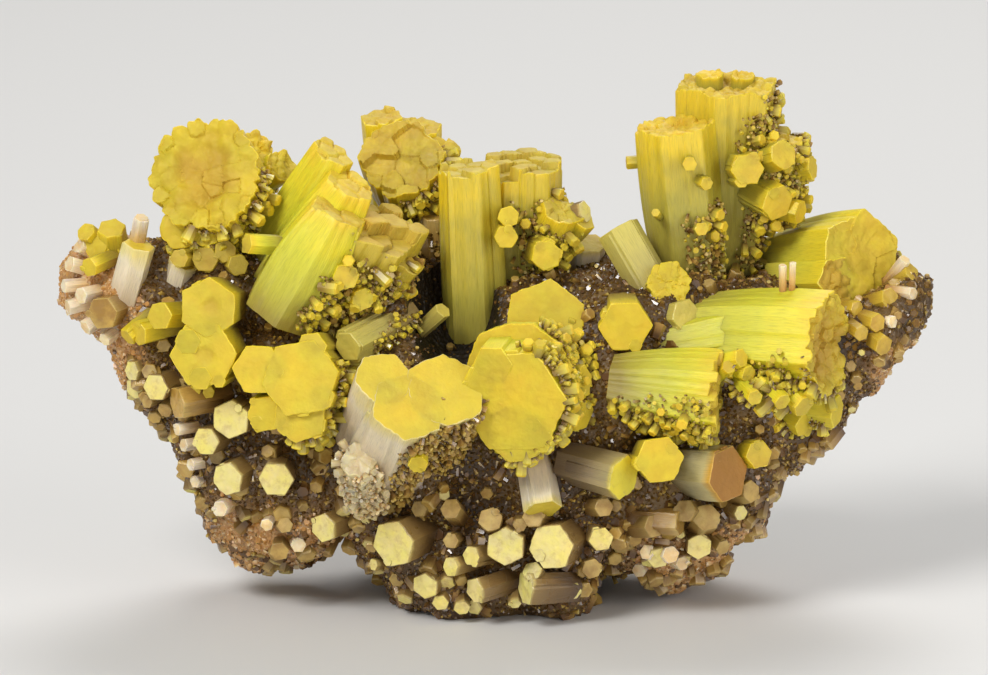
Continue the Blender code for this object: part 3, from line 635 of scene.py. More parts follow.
knobbly = dict(cells=2, step=0.5, seam=0, dome=0.1, ragged=0.04, grain=0.1, fine=2)   # rough yellow columns
ribbed = dict(grain=0.1, groove=0.02, bulge=0.012, flute=0.014, fine=2)   # big barrels lying to the right
blocky = dict(ragged=0.04, roundness=0.3, wavy=0.1, finish="pale")   # plain pale prisms
rounded = dict(cells=1.2, step=0.3, dome=0.4, seam=0, roundness=0.8)   # round tops of columns
domed = dict(dome=0.3, seam=0)   # ends without seams
pieceList = [
    dict(node="left_crown", slot="yellow_crystal", finish="gold", stems=[
        stem(-31.4, -8.5, 48.7, -12, 26, 6.6, 20, 8, 0.6, 0.06, cells=2.1, roundness=0.7, ragged=0.05,
             raggedScale=0.25, fine=2, step=0.5, groove=0.25, bulge=0.07, grain=0.09, wavy=1, hollow=0.8,
             hollowWide=0.75, hollowShade=0.7, **domed, **flanked(0.45, (0.6, 0, -0.8), 0.9, dull=0.12)),
        stem(-31.2, -8.8, 43.4, -12, 20, 2.8, 7, 20, 0.9, 0, cells=1.5, roundness=0.4, step=0.8, finish="greenGold",
             **domed, **flanked(0.2, (0.5, -0.2, -0.9), 0.9)),
        stem(-34.2, -7.8, 42.6, -16, 16, 2.6, 9, 10, 0.9, 0, cells=1.8, roundness=0.5, step=0.4, finish="greenGold",
             **domed, **flanked(0.3, (0.4, -0.1, -0.9), 0.9)),
        stem(-26, -0.4, 50, 22, 34, 2.2, 10, 20, 0.9, cells=1.1, step=0.7, roundness=0.5, finish="lime", **domed,
             **flanked(0.5, (0.3, 0, -1), 0.5, dull=0.5)),
        stem(-23.2, -1, 48.2, 40, 30, 2, 8, 5, cells=1, step=0.6, roundness=0.5, finish="lime", **domed,
             **flanked(0.5, (0.3, 0, -1), 0.5, dull=0.5)),
        stem(-26, -2.4, 45.8, 50, 14, 1.7, 5, 12, lobes=3, **flanked(-0.6)),
        *alike((-31.4, -9.6, 39.4, -10, 8, 1.5, 6, 0, 0.9, 0), (-29.2, -9.6, 40.3, 10, 14, 1.3, 6, 20, 0.9, 0),
               (-27.8, -10.4, 38.9, 16, 4, 1.2, 6, 8, 0.9, 0), lobes=3, drop=0.3, finish="ochre"),
        stem(-34.2, -10, 39.6, -20, 10, 1.1, 6, 8, 0.9, 0, lobes=2, drop=0.3, finish="ochre")]),
    dict(node="pale_left_prism", slot="pale_crystal", finish="pale", stems=[
        stem(-38.6, -8.4, 40.8, 58, 72, 1.8, 11, 15, 0.95, 0, lobes=2),
        # small pale prism: painted highlight, standing for a white glint at the crown's left
        stem(-38.3, -8.6, 43.8, 20, 62, 0.8, 5, 0, 1.1, 0, lobes=3, lobeSize=(0.5, 0.8), drop=0.6, finish="crust")]),
    dict(node="pale_left_stub", slot="pale_crystal", finish="pale", stems=[
        stem(-33.8, -7, 38.6, 40, 66, 1.8, 8, 0, 0.95, 0, lobes=2)]),
    dict(node="left_double_hexagon", slot="yellow_crystal", finish="gold", stems=[
        stem(-31.4, -17, 30.4, -12, 4, 3.8, 9, 4, 0.85, 0, lobes=3, drop=0.03, hollow=0.3, hollowWide=0.35),
        stem(-30.9, -16.6, 35.5, -10, 8, 3.3, 9, 29, 0.85, 0, lobes=2, drop=0.03, hollow=0.3, hollowWide=0.4),
        *alike((-36.2, -14.8, 34.2, -30, 8, 1.6, 6, 10, 1, 0), (-38.6, -12.4, 31.8, -55, -6, 1.5, 6, 24, 1, 0),
               lobes=1)]),
    dict(node="lower_left_cluster", slot="yellow_crystal", finish="gold", stems=[
        stem(-20.9, -20, 28.5, -12, 12, 4.4, 8.5, 12, 0.8, 0.05, lobes=5, drop=0.05, **flanked(0.2, amount=0.8)),
        stem(-25.5, -18.8, 29.2, -14, 10, 2.9, 8, 0, 0.85, 0, lobes=2, drop=0.05),
        stem(-21, -20.1, 24.4, -12, 8, 3.1, 8, 24, 0.8, 0, lobes=4, drop=0.06, **flanked(0.1, amount=0.9)),
        stem(-24.8, -18.6, 24.2, -14, 0, 2.1, 7, 14, 0.85, 0, lobes=4, drop=0.2, finish="greenGold")]),
    dict(node="olive_prism", slot="pale_crystal", finish="wedge", stems=[
        stem(-15.9, -16.6, 31.2, -38, -10, 1.8, 11, 8, 0.85, 0, lobes=4, drop=0.3, lobeSize=(0.3, 0.6),
             **flanked(0.2, (0.7, -0.2, -0.7), 0.7, coarse=0))]),
    dict(node="leaning_bundle", slot="green_yellow_crystal", finish="lime", stems=[
        stem(-13.6, -9.2, 43.9, 60, 57, 6.8, 19, 10, 0.8, 0.14, cells=2.8, step=2.4, groove=0.15, finish="ochre",
             bulge=0.06, slope=(0, -0.25), fine=2, **flanked(0.1, (0.7, -0.3, -0.65), 0.85, dull=0.45)),
        stem(-17.4, -6.8, 50.8, 60, 57, 2.5, 19, 4, 1.35, cells=2.4, step=0.8, fine=2),
        stem(-15.6, -9.6, 47.7, 60, 57, 3, 16, 24, 1.55, 0.2, cells=2.4, step=0.9, fine=2),
        stem(-9.8, -9.6, 39.8, 62, 46, 2.8, 10, 12, 0.9, 0.05, cells=1.8, step=0.9, finish="ochre",
             **flanked(-0.2, dull=0.5)),
        stem(-16.8, -13.2, 45.3, 75, 60, 3.4, 13.5, 12, 1.32, 0.22, cells=2.2, step=0.8, bulge=0.04, fine=2,
             **flanked(0.35, (0.8, -0.2, -0.6), 0.5)),
        stem(-26.8, -13.4, 41.9, -60, 8, 1.2, 4, 0, 1, 0, lobes=1),
        *alike((-16, -16, 38.8, 8, 4, 1.5, 7, 6), (-14.2, -14.6, 36, 24, 2, 1.3, 6, 16), lobes=2)]),
    dict(node="back_centre_crystals", slot="yellow_crystal", finish="honey", stems=[
        stem(-10.2, 1, 48.6, -10, 42, 5, 8.5, 14, 0.85, 0.04, cells=2.6, roundness=0.4, ragged=0.05, fine=2,
             step=1.2, seam=0, dome=0.15, wavy=1, grain=0.12, groove=0.2, bulge=0.1, **flanked(0.3, amount=0.8)),
        *alike((-12.5, 6.4, 52.4, -22, 74, 2.5, 22, 0, 0.95), (-8.4, 7.4, 51.2, 4, 76, 2.7, 21, 18, 0.95, 0.05),
               **knobbly),
        stem(-6.4, 3.4, 48.4, 14, 50, 3, 7, 20, 0.9, 0, cells=2.2, roundness=0.4, ragged=0.05, fine=2, step=0.9,
             seam=0, dome=0.15, wavy=1, grain=0.1, **flanked(0.3, amount=0.8)),
        stem(-5.4, 5.6, 48.6, 24, 66, 2, 12, 8, 0.95, 0, **knobbly)]),
    # its upward ends take the darker olive ends, painted shade
    dict(node="centre_tall_bundle", slot="green_yellow_crystal", finish="shadedOlive", stems=[
        stem(2.5, 1.9, 47.9, 6, 86, 5.2, 19, 6, 0.78, 0.08, cells=2, step=1.7, groove=0.16, fine=2,
             **flanked(0.25, (0.85, -0.45, -0.3), 0.75, dull=0.5)),
        stem(-3, -3.8, 48.6, -30, 85, 3.45, 30, 20, 1.05, 0.04, cells=2.2, step=0.9, groove=0.12, bulge=0.04,
             fine=2),
        stem(7.4, -2.4, 43.6, 40, 56, 2.6, 10, 10, cells=1.4, step=0.7, **flanked(-0.5)),
        stem(1.2, -8.4, 41.6, 2, 6, 1.35, 7, lobes=2, finish="gold"),
        stem(1.5, -7.8, 43.8, 4, 12, 1.2, 5, 14, lobes=1, finish="gold"),
        stem(-5.6, -9.6, 33.8, 50, 40, 1, 5.5, 0, 0.9, 0, finish="wedge"),
        stem(-6.6, 0.6, 42.4, -10, 76, 1.7, 13, 10, 0.95, 0, lobes=3, drop=0.4, finish="amber",
             **flanked(-0.3, dull=1)),
        stem(5.6, -7.4, 39.4, 10, 6, 1.75, 8, 18, lobes=5, lobeSize=(0.3, 0.5), finish="gold"),
        # its pale cream end is partly the crystal's own colour, partly a painted highlight for the white reflection
        # on it
        stem(9.9, -1.8, 43.2, 60, 20, 1.3, 5, 10, 1, 0, finish="cream"),
        stem(9.7, -2.2, 42.4, 50, 46, 1.5, 6, 4)]),
    dict(node="centre_hexagon", slot="yellow_crystal", finish="gold", stems=[
        stem(5.5, -11.6, 33, 4, 18, 4.7, 8, 22, 0.85, 0, lobes=2, drop=0.04)]),
    dict(node="right_hexagon", slot="yellow_crystal", finish="gold", stems=[
        stem(14.1, -13.2, 32.7, 2, 0, 3, 7, 2, 0.95, 0, lobes=2, drop=0.04)]),
    dict(node="upper_middle_prisms", slot="pale_crystal", finish="wedge", stems=[
        stem(13.4, -2.6, 41.4, -118, 56, 2.5, 12.5, 12, 0.95, 0, lobes=3, drop=0.25, lobeSize=(0.3, 0.6)),
        stem(10.4, 1.6, 39, 8, 66, 2, 6, 0, 0.95, 0, lobes=2, finish="pale")]),
    dict(node="upper_middle_hexagon", slot="yellow_crystal", finish="gold", stems=[
        stem(19, -7.6, 36.4, 10, 24, 2.6, 5, 8, 0.9, 0, lobes=3, cells=1.2, step=0.4, grain=0.1,
             lobeSize=(0.3, 0.6))]),
    dict(node="tall_right_pair", slot="green_yellow_crystal", finish="olive", stems=[
        stem(25.5, 6.4, 56, 6, 85, 5.9, 24.9, 12, 0.58, cells=1.3, step=0.35, groove=0.05, bulge=0.015, grain=0.08,
             wavy=0.5, hollow=0.7, hollowWide=0.8, hollowShade=0.6, fine=2, **domed,
             **flanked(0.45, (0.95, -0.15, -0.3), 0.9, dull=0.4)),
        stem(19.6, 1, 52.4, -50, 83, 4.6, 21, 0, 0.66, 0.14, cells=1.5, step=0.5, groove=0.06, bulge=0.02,
             grain=0.08, hollow=0.5, hollowWide=0.7, hollowShade=0.6, fine=2, **domed,
             **flanked(0.45, (0.8, -0.5, -0.3), 0.5, dull=0.6)),
        stem(30.4, 5.5, 50.2, 20, 84, 3.9, 10, 8, 0.85, cells=1.3, step=1, **flanked(-0.5, top=0.95, dull=0.35)),
        *alike((23.6, 7.6, 57, 0, 80, 1.7, 3, 3, 0.95, 0), (27.4, 8.4, 56.7, 20, 78, 1.4, 3, 3, 0.95, 0), **rounded),
        stem(27.6, -1.6, 47.8, 10, 8, 1.9, 8, 3, lobes=6, drop=0.12),
        stem(31.6, -0.4, 49.2, 30, 18, 1.7, 7, 20, lobes=3),
        stem(31, -0.2, 43.8, 34, -8, 2.1, 8, 14, lobes=2),
        *alike((35, 3.8, 47, 70, 10, 1.4, 7), (33.6, 1.6, 42.4, 60, -6, 1.4, 6), lobes=1),
        stem(14.4, 1.2, 48, -84, -4, 0.8, 5),
        stem(21.2, -4.8, 49, 0, 6, 0.85, 5, lobes=3, drop=0.3),
        stem(23.1, -4.2, 46.7, 20, 0, 0.75, 5, 9, lobes=2, drop=0.3),
        stem(17.5, -4.6, 43.6, -10, 20, 0.5, 4, lobes=1),
        stem(22.6, -3.8, 41.6, 10, 10, 0.8, 4, lobes=2, drop=0.3)]),
    dict(node="right_back_barrel", slot="yellow_crystal", finish="gold", stems=[
        stem(40.4, -0.2, 37.6, 32, 13, 5.4, 15, 18, 0.86, 0.06, cells=3.2, roundness=0.1, step=0.25, grain=0.07,
             seam=0, groove=0.02, ragged=0.035, bulge=0.02, flute=0.012, wavy=0.6, hollow=0.4, hollowShade=0.5,
             fine=2, finish="litLime", **flanked(0.35, (0.8, -0.2, -0.6), 0.97, dull=0.4)),
        stem(37.6, -3, 35.7, 36, 10, 2.7, 11, 0, 0.9, 0, cells=1.4, step=0.5, groove=0.03, flute=0.012, sink=0.5,
             finish="litLime", **domed, **flanked(0.3, (0.7, -0.3, -0.7)))]),
    dict(node="right_front_barrels", slot="green_yellow_crystal", finish="lime", stems=[
        stem(36.4, -12.6, 30.6, 63, 2, 6, 18, 10, 0.72, cells=1.5, step=0.7, hollow=0.9, hollowWide=0.85,
             hollowShade=0.9, **ribbed, **domed, **flanked(0.25, (0.1, -0.3, -1), 0.95)),
        stem(24.4, -15.4, 25.6, 80, -5, 5.2, 12, 22, 0.6, 0.08, cells=1.8, step=1.2, **ribbed,
             **flanked(0.3, (0.1, -0.2, -1), 0.95)),
        stem(29.2, -9.4, 31.6, 86, 10, 3.5, 13.4, 8, 0.5, cells=1.4, step=0.4, **ribbed),
        stem(20.8, -9.8, 33.2, 34, 10, 1.9, 6, 8, 0.9, 0, lobes=2, drop=0.3, finish="wedge"),
        stem(26.6, -15.9, 29.8, 50, 16, 1.1, 6, 0, 0.9, 0, lobes=3, drop=0.3, **flanked(-0.2)),
        stem(25.2, -16.6, 29, 24, 30, 0.8, 5, 10, 0.9, 0, lobes=2, drop=0.3),
        stem(27.4, -15.8, 28, 40, -6, 1, 6, 10, 0.9, 0, lobes=3, drop=0.3),
        stem(33.4, -16.4, 24.6, 40, -24, 1.4, 7, lobes=3, drop=0.4, **flanked(-0.7)),
        stem(28, -18.6, 26, 20, -10, 0.9, 7, 12, lobes=1, **flanked(-0.8)),
        stem(31, -18, 25.4, 30, -20, 1, 7, 5, lobes=2, drop=0.4, **flanked(-0.8)),
        stem(37.2, -11, 22.8, 66, -4, 1.9, 7, 12, lobes=4, drop=0.3, finish="litLime", **flanked(0.1)),
        stem(33.8, -11, 21.4, 40, -14, 1.6, 6, 2, lobes=4, drop=0.3, finish="litLime", **flanked(-0.4)),
        stem(36.2, -11.4, 25.4, 60, -10, 1.2, 6, 2, lobes=3, drop=0.3, finish="litLime", **flanked(-0.4)),
        # two thin pale prisms: painted highlight, standing for the glints on small prisms here
        *alike((31.2, -9.6, 38.8, -6, 76, 0.42, 3.4, 0, 1, 0), (32.3, -9.4, 39, 6, 80, 0.38, 3.4, 20, 1, 0),
               finish="crust")]),
    dict(node="front_centre_pair", slot="yellow_crystal", finish="gold", stems=[
        stem(1.9, -22.3, 26.4, -14, -6, 6.2, 9, 4, 0.85, 0.03, lobes=6, drop=0.04, finish="greenGold",
             **flanked(-0.1, (0.95, 0, -0.3), 0.95)),
        stem(2.4, -19.2, 28.5, -8, 8, 6.2, 6, 14, 0.9, 0.05, lobes=3, finish="greenGold", roundness=0.5, dome=0.2,
             wavy=0.5, **flanked(0.3, (0.95, 0, 0.1), 0.9)),
        stem(-9.4, -21.45, 25.8, 15, 40, 4.5, 15.5, 5, 1.25, 0, finish="pale"),
        stem(-11.9, -22.65, 29, 15, 40, 3.3, 16, 0, 0.93, 0, **blocky),
        stem(-5.3, -22.1, 27.6, 15, 40, 4.6, 16, 24, 0.93, 0, **blocky,
             **flanked(0.2, (0.9, -0.3, -0.4), 0.98, dull=1)),
        stem(-9.2, -24.3, 26.3, 15, 40, 4.2, 16, 15, 0.93, 0, **blocky,
             **flanked(0.35, (0.9, -0.3, -0.4), 0.96, dull=1)),
        stem(-8.2, -24.6, 20, 0, -20, 1.1, 5, 8, lobes=2),
        stem(-14.6, -21, 19.8, -10, 44, 2.2, 9, 0, 0.95, roundness=0.8, ragged=0.1, grain=0.3, wavy=1,
             finish="paleGrain", **flanked(-1.2, top=1.1, crusty=1)),
        stem(4.6, -19, 26.4, -10, 0, 3.6, 9, 0, 1.7, 0, finish="greenGold", **flanked(-0.1, (1, 0, -0.15), 1)),
        stem(2.2, -21.93, 22.8, -14, -6, 3.5, 8, 18, 0.85, 0, roundness=0.3, finish="greenGold",
             **flanked(0, (0.7, 0, -0.7), 0.95)),
        *alike((9.4, -17.4, 27.6, 50, 4, 1.8, 7, 10), (9.4, -16.8, 23.6, 48, -6, 1.8, 7, 3), lobes=2,
               **flanked(-0.6))]),
    dict(node="downward_prism", slot="pale_crystal", finish="pale", stems=[
        stem(5.2, -18.4, 13.6, 14, -50, 2.1, 6.5, 10, 0.95, 0, lobes=1)]),
    dict(node="front_right_hexagon", slot="yellow_crystal", finish="gold", stems=[
        stem(17.7, -21, 19.7, 8, 10, 2.7, 9, 6, 0.8, 0, lobes=2, drop=0.04)]),
    dict(node="front_right_prism", slot="yellow_crystal", finish="umber", stems=[
        stem(13.9, -19.8, 17.5, 50, -4, 2.6, 8, 20, 0.9, 0, lobes=2, drop=0.05)]),
    dict(node="brown_barrel", slot="brown_crystal", finish="brown", stems=[
        stem(25.2, -17, 17.2, 46, 6, 3.2, 7, 8, 0.75, lobes=4, sink=0.6)]),
    dict(node="back_left_barrel", slot="green_yellow_crystal", finish="lime", stems=[
        stem(-26, 17, 36, 196, 34, 4.4, 9, 10, 0.75, 0.06, cells=1.6, step=1, **flanked(amount=0.8)),
        stem(-30.6, 14.6, 33, 216, 16, 2.4, 8, 4, lobes=2)]),
    dict(node="back_middle_pair", slot="yellow_crystal", finish="gold", stems=[
        stem(-3, 21.5, 28, 184, 16, 4.9, 10, 16, 0.75, 0.05, cells=1.6, step=1, hollow=0.8, **flanked(amount=0.8)),
        stem(3.8, 21, 31, 172, 26, 3.4, 9, 6, lobes=3)]),
    dict(node="back_right_barrel", slot="green_yellow_crystal", finish="lime", stems=[
        stem(22, 19.6, 26.6, 160, 16, 4.2, 9, 22, 0.75, 0.06, cells=1.6, step=1, **flanked(amount=0.8)),
        stem(27.6, 17, 23.6, 144, 4, 2.3, 8, 2, lobes=2)]),
]
flankSizes = dict(   # finish, spacing, thinnest, thickest, length to width, tilt, mask, rings
    clean=(("sproutLarge", 1.25, 0.32, 0.78, 2, 0.5, "coarse", 2), ("sprout", 0.66, 0.18, 0.4, 2.6, 0.6),
           ("sproutFine", 0.4, 0.1, 0.2, 2.6, 0.8)),
    dull=(("amber", 0.9, 0.2, 0.45, 2.2, 0.9, "dull"), ("druse", 0.42, 0.12, 0.26, 3, 1.1, "dull")),
    crusty=(("paleGrain", 0.75, 0.25, 0.55, 1.6, 0.7, "crusty"), ("crust", 0.5, 0.14, 0.3, 2.2, 0.9, "crusty")))


def growAll(name, skin, sizeRows, seed):
    # one growth for each row of sizes; the skin itself isn't kept
    grown = []
    for i, (finish, *sizes) in enumerate(sizeRows):
        grown.append(growDruse(name, skin, seed + i, finishes[finish], *sizes))
    bpy.data.objects.remove(skin)
    return grown


def makeCluster(number, spec):
    chance = random.Random(seeds["clusters"] + number)
    shapes = {}
    for s in spec["stems"]:
        addStem(shapes.setdefault(s.get("finish", spec["finish"]), newShape()), s, chance)
    parts = [meshFrom(spec["node"] + "_crystals", shape, finishes[key]) for key, shape in shapes.items()]
    skin = flankSkin(spec["node"] + "_skin", spec["stems"])
    if skin:
        used = flankSizes["clean"]
        for kind in ("dull", "crusty"):
            if any(s[kind] for s in spec["stems"]):
                used += flankSizes[kind]
        parts += growAll(spec["node"] + "_sprouts", skin, used, number * seeds["eachPiece"])
    piece = joined(spec["node"] + "_grown", parts)
    claim(piece, spec["node"])
    return piece


for number, spec in enumerate(pieceList):
    made = makeCluster(number, spec)
    print("specimen:", spec["node"], len(made.data.polygons), "faces")


matrixBody = dict(
    stations=(   # x, lowest z, highest z, front y, back y
        (-47.6, 32.6, 37, -3, 2), (-46, 30.8, 39, -5.5, 5), (-43, 29, 40, -7.5, 7.5),
        (-40.3, 24, 40, -8.5, 8.5), (-36.5, 19.5, 39, -10, 10), (-33, 12.5, 38.5, -11, 11.5),
        (-31, 6.5, 40, -11.5, 12), (-25.5, 3.4, 40, -12.5, 13.5), (-20.5, 3.8, 37.5, -13.5, 14.5),
        (-17, 7.6, 35, -14, 15), (-13.5, 3, 36.5, -14.5, 15.5), (-9, -2.5, 37.5, -15, 16),
        (-4, -5.5, 36, -15.5, 16.5), (3, -6, 35.5, -15.5, 16.5), (9, -4.5, 36.5, -15.5, 16.5),
        (12.5, 2.4, 37, -15, 16), (15.5, 3.4, 36.5, -14.5, 15.5), (19, 1.2, 36.5, -14, 15),
        (23.5, 2.4, 36, -13, 13.5), (29, 7.5, 35, -12, 12.5), (31.5, 13.5, 34, -11, 11.5),
        (36, 18, 33.5, -9.5, 10), (41, 23, 34, -8, 8.5), (45.5, 28.5, 36, -5, 6),
        (47.8, 31.5, 35, -2.5, 2.5)),
    square=2.4, lumpSize=7, lumpHeight=1.1, pitSize=2.9, pitHeight=0.55, lumpyFrom=20,
    hollowMiddle=(-4.2, -11.5, 36.5), hollowReach=(5.4, 10.5, 9.5), hollowWay=(0, 0.7, -0.7),
    knobs=((1.3, 0.3), (0.6, 0.12)), sections=150, points=130)


def sectionAt(x):
    stations = matrixBody["stations"]
    x = min(max(x, stations[0][0]), stations[-1][0])
    for left, right in zip(stations, stations[1:]):
        if x <= right[0]:
            share = smooth(left[0], right[0], x)
            return [a + (b - a) * share for a, b in zip(left[1:], right[1:])]


def squared(value):
    return math.copysign(abs(value) ** (2 / matrixBody["square"]), value)


def surfacePoint(x, angle):
    bottom, top, front, back = sectionAt(x)
    out = Vector((0, -squared(math.cos(angle)) * (back - front) / 2, squared(math.sin(angle)) * (top - bottom) / 2))
    return Vector((x, (front + back) / 2, (bottom + top) / 2)) + out, out.normalized()


def inHollow(point):
    # the point seen from the dark hollow's middle, where its wall is 1 away
    return Vector([(p - m) / r for p, m, r in zip(point, matrixBody["hollowMiddle"], matrixBody["hollowReach"])])


def hollowed(point):
    # sinks a point to the wall of the dark hollow before the middle bundle's foot
    off, way = inHollow(point), matrixBody["hollowWay"]
    if off.length >= 1:
        return point
    step = Vector([w / r for w, r in zip(way, matrixBody["hollowReach"])])
    along, pace = off.dot(step), step.length_squared
    return point + Vector(way) * ((math.sqrt(along * along + pace * (1 - off.length_squared)) - along) / pace)


def roughened(point, out):
    bottom, top, front, back = sectionAt(point.x)
    lump = noise.noise(point / matrixBody["lumpSize"]) * matrixBody["lumpHeight"]
    pit = noise.noise(point / matrixBody["pitSize"] + Vector((31, 7, 19))) * matrixBody["pitHeight"]
    return hollowed(point + out * 2 * (lump + pit) * min(1, (top - bottom) / matrixBody["lumpyFrom"]))


def frontY(x, z):
    bottom, top, front, back = sectionAt(x)
    height = min(abs(2 * z - bottom - top) / (top - bottom), 0.98)
    depth = (1 - height ** matrixBody["square"]) ** (1 / matrixBody["square"])
    return (front + back) / 2 - depth * (back - front) / 2


def insideCrystal(point):
    for s in thickStems:
        axis = growthLine(s)
        down = (s["tip"] - point).dot(axis)
        if 0.3 < down < s["length"]:
            aside = (point - s["tip"] + axis * down).length
            if aside < s["radius"] * swellAt(s, 1 - down / s["length"]) * 0.85:
                return True
    return False


def matrixMasks(verts):
    # where the rock is stained, where painted shade blackens the hollow, and what grows on it
    masks = dict(stain=[], growth=[], crust=[], band=[], bead=[], dark=[])
    for v in verts:
        patch = noise.noise(v / 3.1) + 0.5 * noise.noise(v / 1.2)
        edge = max(smooth(-36, -41, v.x), smooth(15, 8, v.z) * smooth(-12, -19, v.x),
                   smooth(12, 7, v.z) * smooth(12, 17, v.x), 0.8 * smooth(39, 43, v.x) * smooth(31, 27, v.z))
        leftEnd, rightEnd = smooth(-37, -41, v.x), smooth(34, 37, v.x) * smooth(25, 28, v.z)
        grows = 0.0 if v.z < 0.35 or insideCrystal(v) else 1.0
        crust = grows * smooth(0.35, 0.6, edge + patch * 0.5)
        # painted shade: the mask that blackens the rock inside the hollow
        dark = smooth(1.12, 1, inHollow(v).length)
        grows *= 1 - 0.85 * dark
        values = dict(dark=dark, crust=crust, bead=grows * rightEnd, stain=edge * (0.7 + noise.noise(v / 4) * 0.6),
                      growth=grows * (1 - 0.85 * crust) * (1 - 0.9 * leftEnd) * (1 - 0.5 * rightEnd),
                      band=grows * (0.25 + 0.75 * smooth(17, 10, v.z)) * smooth(-0.35, 0.1, patch) * (1 - leftEnd))
        for key, value in values.items():
            masks[key].append(value)
    return masks


def makeMatrixMesh():
    sections, points = matrixBody["sections"], matrixBody["points"]
    first, last = matrixBody["stations"][0][0], matrixBody["stations"][-1][0]
    verts, faces = [], []
    for i in range(sections):
        x = first + (last - first) * i / (sections - 1)
        for k in range(points):
            point, out = surfacePoint(x, 2 * math.pi * k / points)
            point = roughened(point, out)
            point = point + out * sum(noise.noise(point / size) * height for size, height in matrixBody["knobs"])
            point.z = max(point.z, 0)
            verts.append(point)
    for i in range(sections - 1):
        low, high = i * points, (i + 1) * points
        for k in range(points):
            after = (k + 1) % points
            faces.append((low + k, low + after, high + after, high + k))
    faces.append(tuple(reversed(range(points))))
    faces.append(tuple((sections - 1) * points + k for k in range(points)))
    mesh = bpy.data.meshes.new("matrix_rock")
    mesh.from_pydata([v * mm for v in verts], [], faces)
    mesh.validate()
    addMasks(mesh, matrixMasks(verts))
    mesh.materials.append(rock)
    return placed("matrix_rock", mesh)


def partOf(body, name, keep):
    # a copy of the body's skin that grows only where keep says so
    piece = placed(name, body.data.copy())
    for key in ("growth", "crust", "band", "bead"):
        for v, value in zip(piece.data.vertices, piece.data.attributes[key].data):
            if not keep(v.co / mm):
                value.value = 0.0
    return piece


thickStems = [s for spec in pieceList for s in spec["stems"] if s["radius"] > 1.6]
matrixRock = makeMatrixMesh()
claim(matrixRock, "matrix")
druseParts = (   # name, lowest x, highest x, side
    ("left", -50, -14, "front"), ("middle", -14, 16, "front"), ("right", 16, 50, "front"),
    ("backLeft", -50, 0, "back"), ("backRight", 0, 50, "back"))
druseSizes = dict(   # finish, spacing, thinnest, thickest, length to width, tilt, mask, rings
    front=(("amber", 1.5, 0.4, 0.95, 1.5, 0.9, "band"), ("amber", 0.85, 0.2, 0.42, 2.2, 0.9),
           ("bead", 1.15, 0.42, 0.8, 1, 0.35, "bead", 2), ("crust", 0.75, 0.25, 0.55, 1.1, 0.8, "crust"),
           ("crust", 0.42, 0.14, 0.28, 1.3, 0.9, "crust"), ("druse", 0.43, 0.1, 0.25, 2.8, 1.3)),
    back=(("amber", 1.9, 0.45, 1, 1.4, 0.9, "band"), ("amber", 1.1, 0.25, 0.55, 2, 0.9),
          ("crust", 0.6, 0.2, 0.42, 1.2, 0.9, "crust"), ("druse", 0.57, 0.14, 0.34, 2.4, 1.2)))
for number, (name, low, high, side) in enumerate(druseParts):
    skin = partOf(matrixRock, "skin", lambda p: low <= p.x < high and (p.y < -1) == (side == "front"))
    seed = seeds["druse"] + number * seeds["eachPiece"]
    piece = joined("matrix_druse_" + name, growAll("druse", skin, druseSizes[side], seed))
    claim(piece, "matrix")
    print("specimen: druse", name, len(piece.data.polygons), "faces")

